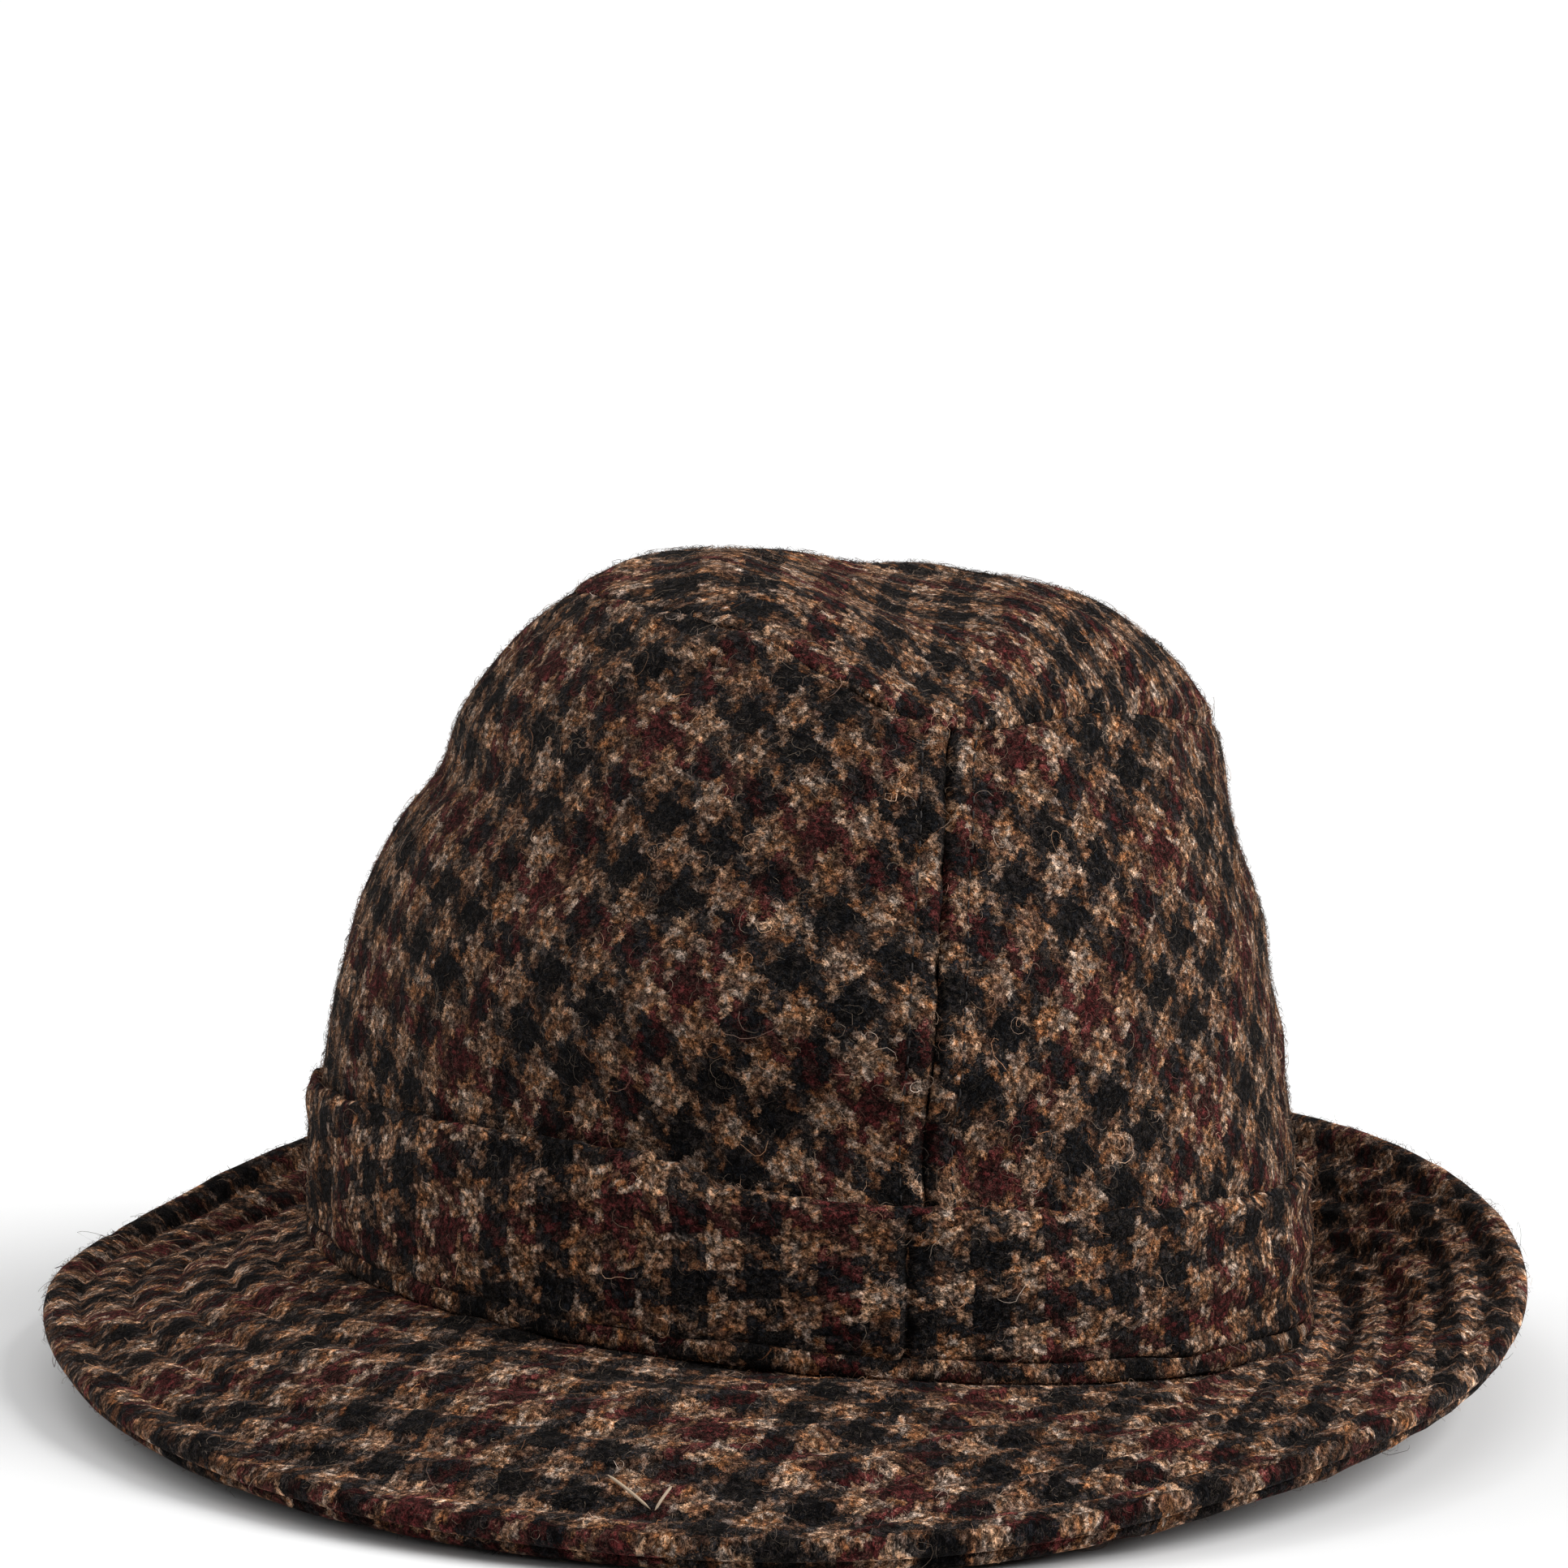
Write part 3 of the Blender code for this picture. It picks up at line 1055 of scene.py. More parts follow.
    def nap(
        self, s: Sketch, threads: Threads, colour: Wire, hairs: Wire, level: Wire
    ) -> tuple[Wire, Wire]:
        """Raise the nap: felted grain, painted shade in the gaps between threads with a painted
        highlight on each float, and stray hairs.

        Args:
            s: the tree to write into.
            threads: how the threads lie.
            colour: colour of the yarns.
            hairs: strength of the stray hairs.
            level: overall lightness.

        Returns:
            Colour and height of the cloth.
        """
        place, body, fibres = threads.place, threads.body, threads.fibres
        curl = s.noise(place, 1.7, 2.5, 1.6)
        tuft = s.noise(place, 0.60, 2.0, 0.5)
        patch = s.noise(place, 0.05, 2.0)
        strands = self.strands(s, place)
        power = (curl - 0.5) * self.curl_contrast + (fibres - 0.5) * self.fibre_contrast
        power = power + (tuft - 0.5) * self.tuft_contrast + (patch - 0.5) * self.patch_contrast
        # painted shade in the gaps between threads and painted highlight on the crown of each
        # float
        power = power + (body - 0.62) * self.painted_float_shade
        power = power + strands * hairs * self.strand_contrast
        grain = s.math("POWER", math.e, power)
        shade = grain * (level * (1.0 + self.evenness)) / (grain * self.evenness + 1.0)
        colour = s.mix(1.0, colour, s.combine(shade, shade, shade), "MULTIPLY")
        colour = s.mix(strands * hairs * self.strand_cover, colour, Yarn.PALE.value)
        return colour, body * 0.5 + curl * 0.8 + tuft * 0.9 + fibres * 0.4 + strands * 0.3

    def strands(self, s: Sketch, place: Wire) -> Wire:
        """Lay curly strands of wool over the threads.

        Each strand is a level line of a soft field, so that it curls and closes on itself.

        Args:
            s: the tree to write into.
            place: place on the cloth in millimetres.

        Returns:
            1 along the middle of a strand and 0 between strands.
        """
        lines = []
        for scale, turns, width, offset in self.strand_sorts:
            moved = s.vector("ADD", place, (offset, offset * 1.7, offset * 0.3))
            ripple = s.math("FRACT", s.noise(moved, scale, 2.0, 1.5) * turns)
            line = s.remap(s.math("ABSOLUTE", ripple - 0.5), 0.0, width, 1.0, 0.0)
            gate = s.remap(s.noise(moved, scale * 0.8, 1.0), 0.44, 0.56, 0.0, 1.0)
            lines.append(line * gate)
        return s.math("MAXIMUM", s.math("MAXIMUM", lines[0], lines[1]), lines[2])


def new_material(
    name: str, values: dict[str, object]
) -> tuple[bpy.types.Material, Sketch, bpy.types.Node]:
    """Make a material and set sockets of its shader.

    Args:
        name: name of the material.
        values: values of the shader's sockets.

    Returns:
        The material, a sketch of its tree, and its shader.
    """
    made = bpy.data.materials.new(name)
    made.use_nodes = True
    s = Sketch(made.node_tree)
    shader = made.node_tree.nodes["Principled BSDF"]
    for title, value in values.items():
        s.feed(shader.inputs[title], value)
    return made, s, shader


@dataclass(frozen=True)
class TweedFinish:
    """Fulled wool tweed on one piece of cloth, with a painted sheen that can lighten its colour at
    grazing angles.
    """

    fulling: float = 1.0
    hairs: float = 1.0
    # on the crown's panels and tip the tone is painted light: lighter where light falls, darker
    # where shade falls
    tone: float = 1.0
    matting: float = 0.0
    # how much painted sheen lightens the colour where the cloth is seen edge-on, and over which
    # facing range
    painted_sheen: float = 0.0
    relief: float = 0.00055
    painted_sheen_span: tuple[float, float] = (0.58, 0.88)
    weave: CheckWeave = CheckWeave()

    def material(self, name: str) -> bpy.types.Material:
        """Make the material.

        Args:
            name: name of the material.

        Returns:
            The material, reading the piece's cloth map in millimetres.
        """
        made, s, shader = new_material(name, {
            "Roughness": 0.95, "Specular IOR Level": 0.04, "Sheen Weight": 0.02,
            "Sheen Roughness": 0.5, "Sheen Tint": (0.85, 0.72, 0.62),
        })
        colour, height = self.weave.placed(s, self.fulling, self.hairs, self.tone, self.matting)
        # painted sheen: the base colour is made lighter where the surface is seen at a grazing
        # angle
        grazing = s.wire("ShaderNodeLayerWeight", {}, "Facing")
        painted_sheen_gain = s.remap(grazing, *self.painted_sheen_span, 1.0, 1.0 + self.painted_sheen)
        s.feed(shader.inputs["Base Color"], s.scale(colour, painted_sheen_gain))
        bump = {"Strength": 0.9, "Distance": self.relief, "Height": height}
        s.feed(shader.inputs["Normal"], s.wire("ShaderNodeBump", bump))
        return made


@dataclass(frozen=True)
class FibreFinish:
    """Loose wool fibres, coloured by the yarn that each one stands on."""

    tone: float = 1.35
    pale_share: float = 0.62
    palest: float = 0.60
    weave: CheckWeave = CheckWeave()

    def material(self, name: str) -> bpy.types.Material:
        """Make the material.

        Args:
            name: name of the material.

        Returns:
            The material, reading the root's place on the cloth and the fibre's own tone.
        """
        made, s, shader = new_material(name, {"Roughness": 0.85, "Specular IOR Level": 0.05})
        colour, _ = self.weave.placed(s, hairs=0.0, tone=self.tone)
        own = s.part(s.wire("ShaderNodeUVMap", {}, uv_map=FIBRE_MAP), 0)
        pale = s.remap(own, self.pale_share, 1.0, 0.0, self.palest)
        s.feed(shader.inputs["Base Color"], s.mix(pale, colour, Yarn.PALE.value))
        return made


@dataclass(frozen=True)
class ThreadFinish:
    """One plain colour of thread or hair."""

    colour: Yarn = Yarn.THREAD
    roughness: float = 0.8

    def material(self, name: str) -> bpy.types.Material:
        """Make the material."""
        values = {"Base Color": self.colour.value, "Roughness": self.roughness}
        return new_material(name, values)[0]


# Sewn pieces


@dataclass
class Stitching:
    """Row of stitches that lie along a line on the cloth."""

    name: str
    slot: str
    pitch: float = 0.0026
    length: float = 0.0017
    radius: float = 0.00017
    first: float = 0.004
    last: float = 0.003
    # place along a stitch in lengths, thickness and height in radii
    shape: tuple[tuple[float, ...], ...] = (
        (-0.5, 0.4, -1.6), (-0.35, 0.9, 0.3), (0.0, 1.0, 0.9), (0.35, 0.9, 0.3), (0.5, 0.4, -1.6),
    )

    def build(self, lines: list[tuple[Array, Array]]) -> bpy.types.Object:
        """Make the stitches of some lines as one mesh.

        Args:
            lines: points and outward directions along each line.

        Returns:
            The piece.
        """
        ahead, thick, raised = np.array(self.shape).T
        spines, ups = [], []
        for track, outward in lines:
            run = run_length(track, 0)
            middles = np.arange(self.first, run[-1] - self.last, self.pitch)
            where = middles[:, None] + ahead[None, :] * self.length
            spine, up = (
                np.stack([np.interp(where, run, line[:, k]) for k in range(3)], axis=-1)
                for line in (track, outward)
            )
            spines.append(spine + unit(up) * (self.radius * raised)[:, None])
            ups.append(unit(up))
        spine, up = np.concatenate(spines), np.concatenate(ups)
        data = tube_mesh(self.name, spine, up, self.radius * thick)
        paint = ThreadFinish().material(self.name + "_thread")
        return place_piece(self.name, data, paint)


@dataclass
class CoarseHair:
    """Stiff pale hair that is caught in the front of the brim, bent to a V."""

    form: HatForm
    finish: ThreadFinish
    name: str = "brim_coarse_hair"
    slot: str = "brim_upper"
    radius: float = 0.00026
    taper: float = 0.95
    bow: float = 0.0002
    rows: int = 9
    # angle and share of the brim at both ends of an arm, and height of those ends
    arms: tuple[tuple[float, ...], ...] = (
        (-22.66, 0.764, 0.0012, -18.90, 0.863, 0.0002),
        (-18.60, 0.866, 0.0002, -17.89, 0.782, 0.0010),
    )

    def build(self) -> bpy.types.Object:
        """Make both arms of the hair as one mesh.

        Returns:
            The piece.
        """
        share = np.linspace(0.0, 1.0, self.rows)
        ups = np.zeros((len(self.arms), self.rows, 3))
        ups[..., 2] = 1.0
        spines = []
        for arm in self.arms:
            start, end = np.array(arm[:3]), np.array(arm[3:])
            turn, place, lift = (start + (end - start) * share[:, None]).T
            bend = lift + self.bow * np.sin(math.pi * share)
            spines.append(self.form.brim_point(np.radians(turn), place) + ups[0] * bend[:, None])
        thick = self.radius * (1.0 - self.taper * np.abs(2 * share - 1.0) ** 8)
        data = tube_mesh(self.name, np.array(spines), ups, thick)
        return place_piece(self.name, data, self.finish.material(self.name + "_wool"))


@dataclass(frozen=True)
class Seam:
    """Plain seam, pressed flat, whose edges sink into a groove."""

    depth: float = 0.0010
    half_width: float = 0.0009
    ragged: float = 0.30
    ragged_length: float = 0.0045
    ridge: float = 0.00055
    stitch_line: float = 0.0042
    stitch_depth: float = 0.00080
    stitch_width: float = 0.0006
    stitch_pitch: float = 0.0026
    stitch_share: float = 0.4
    pucker: float = 0.00016
    pucker_length: float = 0.0075

    def relief(self, distance: Array, along: Array, seed: int) -> Array:
        """Height of the cloth beside the seam.

        Args:
            distance: distance from the seam.
            along: distance along the seam.
            seed: picks the puckers.

        Returns:
            How far the cloth stands out or sinks in.
        """
        ragged = 1.0 + self.ragged * soft_waves(along, 0 * along, self.ragged_length, seed + 60)
        groove = -self.depth * ragged * bell(distance, self.half_width)
        fold = self.ridge * smooth_step(0.0, self.half_width, distance)
        fold = fold * (1.0 - smooth_step(self.stitch_line, self.stitch_line * 1.4, distance))
        wave = np.cos(2 * math.pi * along / self.stitch_pitch)
        stitch = 1.0 - self.stitch_share + self.stitch_share * wave
        line = -self.stitch_depth * bell(distance - self.stitch_line, self.stitch_width) * stitch
        waves = soft_waves(along, 0 * along, self.pucker_length, seed)
        pucker = self.pucker * waves * np.exp(-distance / (1.5 * self.stitch_line))
        return groove + fold + line + pucker


@dataclass(frozen=True)
class Cut:
    """How a piece is cut from the cloth: its turn, its place and how it was stretched."""

    turn: float = 0.0
    shift: tuple[float, float] = (0.0, 0.0)
    stretch: tuple[float, float] = (1.0, 1.0)
    middle: tuple[float, float] = (0.0, 0.0)
    skew: float = 0.0
    bow_across: tuple[float, float, float] = (0.0, 0.0, 0.0)
    bow_along: tuple[float, float, float] = (0.0, 0.0, 0.0)
    span: float = 50.0
    limit: float = 1.3

    def places(self, across: Array, along: Array) -> Array:
        """Places on the cloth in millimetres.

        Args:
            across: distance to the right on the piece, in metres.
            along: distance up the piece, in metres.

        Returns:
            The places, as pairs.
        """
        angle = math.radians(self.turn)
        right = (across / MM - self.middle[0]) / self.span
        up = (along / MM - self.middle[1]) / self.span
        near_right, near_up = (np.clip(part, -self.limit, self.limit) for part in (right, up))
        terms = (
            near_right * (2 * right - near_right), near_right * near_up,
            near_up * (2 * up - near_up),
        )
        right = right + sum(k * term for k, term in zip(self.bow_across, terms))
        up = up + sum(k * term for k, term in zip(self.bow_along, terms))
        turned_right = right * math.cos(angle) + up * math.sin(angle)
        turned_up = up * math.cos(angle) - right * math.sin(angle)
        warp = turned_right * self.span / self.stretch[0]
        weft = turned_up * self.span / self.stretch[1] + self.skew * warp
        return np.stack([warp + self.shift[0], weft + self.shift[1]], axis=-1)


@dataclass
class ClothPiece:
    """Piece of tweed that takes the place of one solid."""

    form: HatForm
    finish: TweedFinish
    node: str
    cut: Cut

    @property
    def name(self) -> str:
        """Name of the piece."""
        return self.node + "_cloth"

    def dress(self, data: bpy.types.Mesh, wall: float = 0.0) -> bpy.types.Object:
        """Put the piece into the scene in place of its solid.

        Args:
            data: its mesh.
            wall: thickness to give the mesh on its inside.

        Returns:
            The piece.
        """
        piece = place_piece(
            self.name, data, self.finish.material(self.name + "_tweed")
        )
        if wall:
            inside = piece.modifiers.new("wall", "SOLIDIFY")
            inside.thickness = wall
            inside.offset = -1.0
        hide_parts(self.node)
        return piece


@dataclass
class CrownPanel(ClothPiece):
    """Side panel of the crown, from the front seam to the back seam."""

    side: int = 1
    apex: float = 0.468
    column_step: float = math.radians(0.95)
    fine_column_step: float = math.radians(0.28)
    fine_columns: float = math.radians(4.2)
    row_step: float = 0.0014
    fine_row_step: float = 0.00045
    lump: float = 0.00040
    lump_size: float = 0.022
    foot_turn: float = math.radians(2.1)
    foot_spread: float = 0.5
    # height above the band's foot, spread and depth of the roll and of the dip under it
    roll: tuple[float, float, float] = (0.054, 0.014, 0.0042)
    dip: tuple[float, float, float] = (0.036, 0.009, 0.0034)
    roll_angle: float = math.radians(-14.0)
    roll_spread: float = 0.48
    seam: Seam = Seam()
    tip_seam: Seam = Seam(0.00030, 0.0013, ridge=0.0, stitch_depth=0.0, pucker=0.0001)

    @property
    def foot(self) -> float:
        """How far the panel goes on below the brim seam."""
        return 2 * self.form.brim.cloth + self.form.band.gap

    def build(self) -> bpy.types.Object:
        """Make the panel with its seams, puckers and soft lumps, and its stitches.

        Returns:
            The piece of cloth.
        """
        form = self.form
        share = graded(math.pi, self.column_step, self.fine_column_step, self.fine_columns)
        angles = share * math.pi if self.side > 0 else share * math.pi - math.pi
        tip = form.tip_seam_place(angles)
        shares = form.row_shares(
            0.5 * math.pi * self.side, 0.0, tip[len(tip) // 2], self.row_step, self.fine_row_step
        )[:, None]
        drift = self.foot_turn * (1.0 - shares) * bell(wrap(angles), self.foot_spread)
        points = form.crown_point(angles + drift, shares * tip)
        points = form.stand(np.concatenate([points[:1] - np.array([0.0, 0.0, self.foot]), points]))
        up, around = run_length(points, 0), run_length(points, 1)
        from_end = around[:, -1:] - around
        spin = (around[1] - 0.5 * around[1, -1]) / self.apex
        radius = self.apex - up
        cloth = self.cut.places(radius * np.sin(spin), self.apex - radius * np.cos(spin))
        sheet = Sheet(points, cloth)
        sheet.push(
            self.seam.relief(around, up, 5)
            + self.seam.relief(from_end, up, 6)
            + self.tip_seam.relief(up[-1:] - up, around, 7)
            + self.lump * soft_waves(around, up, self.lump_size, 11 + self.side)
            + self.fullness(angles, up)
        )
        lines = [self.line_beside(sheet, distance) for distance in (around, from_end)]
        piece = self.dress(sheet.mesh(self.name), form.crown.cloth)
        Stitching(self.name + "_stitches", self.node).build(lines)
        return piece

    def line_beside(self, sheet: Sheet, distance: Array) -> tuple[Array, Array]:
        """Line on the cloth where the seam allowance is stitched down.

        Args:
            sheet: the finished outer face.
            distance: distance of its points from the seam.

        Returns:
            Points and outward directions along the line, from above the band to the tip.
        """
        order = slice(None, None, 1 if distance[0, 0] < distance[0, -1] else -1)
        track, outward = (
            np.array([
                [np.interp(self.seam.stitch_line, gap, row[:, k]) for k in range(3)]
                for gap, row in zip(distance[:, order], grid[:, order])
            ])
            for grid in (sheet.points, sheet.normals())
        )
        hidden = np.searchsorted(run_length(track, 0), self.form.band.height)
        return track[hidden:], unit(outward[hidden:])

    def fullness(self, angles: Array, up: Array) -> Array:
        """Soft roll of the cloth over the band, left of the front.

        Args:
            angles: angle of each column.
            up: distance up the panel.

        Returns:
            How far the cloth stands out.
        """
        roll, dip = (
            depth * bell(up - self.foot - height, spread)
            for height, spread, depth in (self.roll, self.dip)
        )
        return (roll - dip) * bell(wrap(angles - self.roll_angle), self.roll_spread)


@dataclass
class CrownTip(ClothPiece):
    """Oval tip of the crown with its notch and crease."""

    node: str = "crown_tip"
    cut: Cut = Cut(
        -26.0, (13.1, 0.3), (1.27, 1.087), (3.6, -47.3), 0.387,
        (0.098, 0.037, 0.025), (-0.048, -0.073, -0.127),
    )
    columns: int = 300
    row_step: float = 0.0015
    fine_row_step: float = 0.0005
    rows_left_out: int = 6
    lump: float = 0.00045
    lump_size: float = 0.024
    seam: Seam = Seam(0.00030, 0.0013, ridge=0.0002, stitch_depth=0.0, pucker=0.0001)

    def build(self) -> bpy.types.Object:
        """Make the tip.

        Returns:
            The piece.
        """
        form = self.form
        angles = ring_angles(self.columns)
        start = form.tip_seam_place(angles)
        shares = form.row_shares(
            0.5 * math.pi, start[0], 1.0, self.row_step, self.fine_row_step
        )
        shares = np.concatenate([shares[: -self.rows_left_out], [1.0]])[:, None]
        points = form.stand(form.crown_point(angles, start + (1.0 - start) * shares))
        inward, around = run_length(points, 0), run_length(points, 1)
        reach = closed_ring(inward[-1:] - inward)
        wide = np.concatenate([angles, [math.pi]])
        sheet = Sheet(points, self.cut.places(reach * np.sin(wide), -reach * np.cos(wide)))
        relief = self.seam.relief(inward, around[:1] + 0 * inward, 8)
        relief += self.lump * soft_waves(points[..., 0], points[..., 1], self.lump_size, 21)
        relief[-1] = relief[-2].mean()
        normals = sheet.normals()
        normals[-1] = normals[-2].mean(axis=0)
        sheet.points = points + unit(normals) * relief[..., None]
        data = sheet.mesh(self.name)
        join_poles(data)
        return self.dress(data, form.crown.cloth)


@dataclass
class HatBand(ClothPiece):
    """Folded band of the same cloth, with a step in its upper edge and one join."""

    node: str = "hat_band"
    cut: Cut = Cut(3.8, (19.0, 19.4), (1.189, 0.978), (282.0, 11.9), -0.158)
    columns: int = 470
    face_rows: int = 24
    fold_rows: int = 6
    back_rows: int = 4
    join_angle: float = math.radians(-0.7)
    fold: float = 0.0015
    girth: float = 0.09
    inner: float = 0.0002
    lump: float = 0.00048
    groove: float = 0.0011
    groove_width: float = 0.0008
    ridge: float = 0.0005
    ridge_place: float = -0.0026
    ridge_width: float = 0.0016
    tuck: float = 0.0007
    tuck_width: float = 0.006
    tuck_height: float = 0.026
    tuck_lean: float = 1.4
    tuck_fade: tuple[float, float] = (0.010, 0.024)
    # height, length and seed of the waves in the upper edge
    edge_waves: tuple[tuple[float, float, int], ...] = ((0.0003, 0.02, 31), (0.00025, 0.0055, 32))

    def build(self) -> bpy.types.Object:
        """Make the band as a closed ring of cloth.

        Returns:
            The piece.
        """
        form, band = self.form, self.form.band
        angles = spaced_angles(self.columns, {self.join_angle: 4.0, band.step_angle: 1.5})
        foot = band.welt_height + 0.5 * band.gap
        top = form.band_top(angles)
        for height, length, seed in self.edge_waves:
            top = top + height * soft_waves(angles * 0.1, 0 * angles, length, seed)
        face = np.linspace(0.0, 1.0, self.face_rows)
        curve = np.linspace(0.0, math.pi, self.fold_rows + 2)[1:-1]
        back = np.linspace(1.0, 0.0, self.back_rows)
        straight = np.concatenate([face, 1.0 + 0 * curve, back])[:, None]
        folded = np.concatenate([0 * face, np.sin(curve), 0 * back])[:, None]
        rise = foot + (top - foot - self.fold) * straight + self.fold * folded
        outer = band.gap + band.cloth
        half = 0.5 * (outer - self.inner)
        proud = np.concatenate([
            outer - 0.5 * half * (1.0 - smooth_step(0.0, 0.04, face)),
            self.inner + half + half * np.cos(curve),
            self.inner + 0 * back,
        ])[:, None]
        place = form.place_of_share(rise / form.crown.height)
        points = form.stand(form.crown_point(angles, place, proud))
        middle = run_length(closed_ring(points), 1)[self.face_rows // 2]
        up = np.append(run_length(points, 0)[:, 0], self.girth)
        sheet = Sheet(points, self.cut.places(*np.meshgrid(middle, up)))
        from_join, from_step = (
            wrap(angles - at) * form.crown.half_front for at in (self.join_angle, band.step_angle)
        )
        on_face = (np.arange(len(rise)) < self.face_rows)[:, None]
        sheet.push(on_face * self.relief(middle[None, :-1], rise, from_join, from_step))
        return self.dress(sheet.mesh(self.name))

    def relief(self, run: Array, rise: Array, from_join: Array, from_step: Array) -> Array:
        """Height of the cloth on the face of the band.

        Args:
            run: distance round the band.
            rise: height above the brim seam.
            from_join: distance from the join.
            from_step: distance from the step in the upper edge.

        Returns:
            How far the cloth stands out or sinks in.
        """
        lumps = soft_waves(run, rise * 3.2, 0.030, 33) + 0.5 * soft_waves(run, rise, 0.011, 34)
        ridge = self.ridge * bell(from_join - self.ridge_place, self.ridge_width)
        join = ridge - self.groove * bell(from_join, self.groove_width)
        tuck = bell(from_step - (rise - self.tuck_height) * self.tuck_lean, self.tuck_width)
        return self.lump * lumps + join + self.tuck * tuck * smooth_step(*self.tuck_fade, rise)


@dataclass
class BrimWelt(ClothPiece):
    """Narrow folded strip, topstitched over the seam of crown and brim."""

    node: str = "brim_welt"
    cut: Cut = Cut(38.0, (9.0, 5.0))
    columns: int = 560
    ring: int = 12
    girth: float = 0.009
    swell: float = 0.0002
    stitch_pitch: float = 0.0031
    stitch_depth: float = 0.09
    drift: float = 0.00022
    drift_length: float = 0.026
    join_angle: float = math.radians(-3.0)
    join_step: float = 0.0002
    join_fade: float = 0.03

    def build(self) -> bpy.types.Object:
        """Make the welt as a rounded ring.

        Returns:
            The piece.
        """
        form, band = self.form, self.form.band
        angles = ring_angles(self.columns)
        turn = (-np.arange(self.ring) / self.ring * 2 * math.pi - 0.5 * math.pi)[:, None]
        run = angles * form.crown.half_front
        stitch = 1.0 + self.stitch_depth * np.cos(2 * math.pi * run / self.stitch_pitch)
        drift = self.drift * soft_waves(run, 0 * run, self.drift_length, 41)
        fade = smooth_step(-self.join_fade, self.join_fade, wrap(angles - self.join_angle))
        half_height = 0.5 * band.welt_height + self.swell
        middle = 0.5 * (band.welt_height + self.swell)
        height = middle + half_height * np.sin(turn) + (drift - self.join_step * fade)
        half_cloth = 0.5 * (band.welt_cloth + band.gap)
        proud = band.gap + half_cloth * (1.0 - np.cos(turn) * stitch)
        place = form.place_of_share(np.maximum(height, 0.0) / form.crown.height)
        points = form.stand(form.crown_point(angles, place, proud))
        around = run_length(closed_ring(points), 1)[0]
        up = np.arange(self.ring + 1) / self.ring * self.girth
        return self.dress(Sheet(points, self.cut.places(*np.meshgrid(around, up))).mesh(self.name))


class Layer(Enum):
    """The two layers of the brim."""

    UPPER = 1
    UNDER = -1


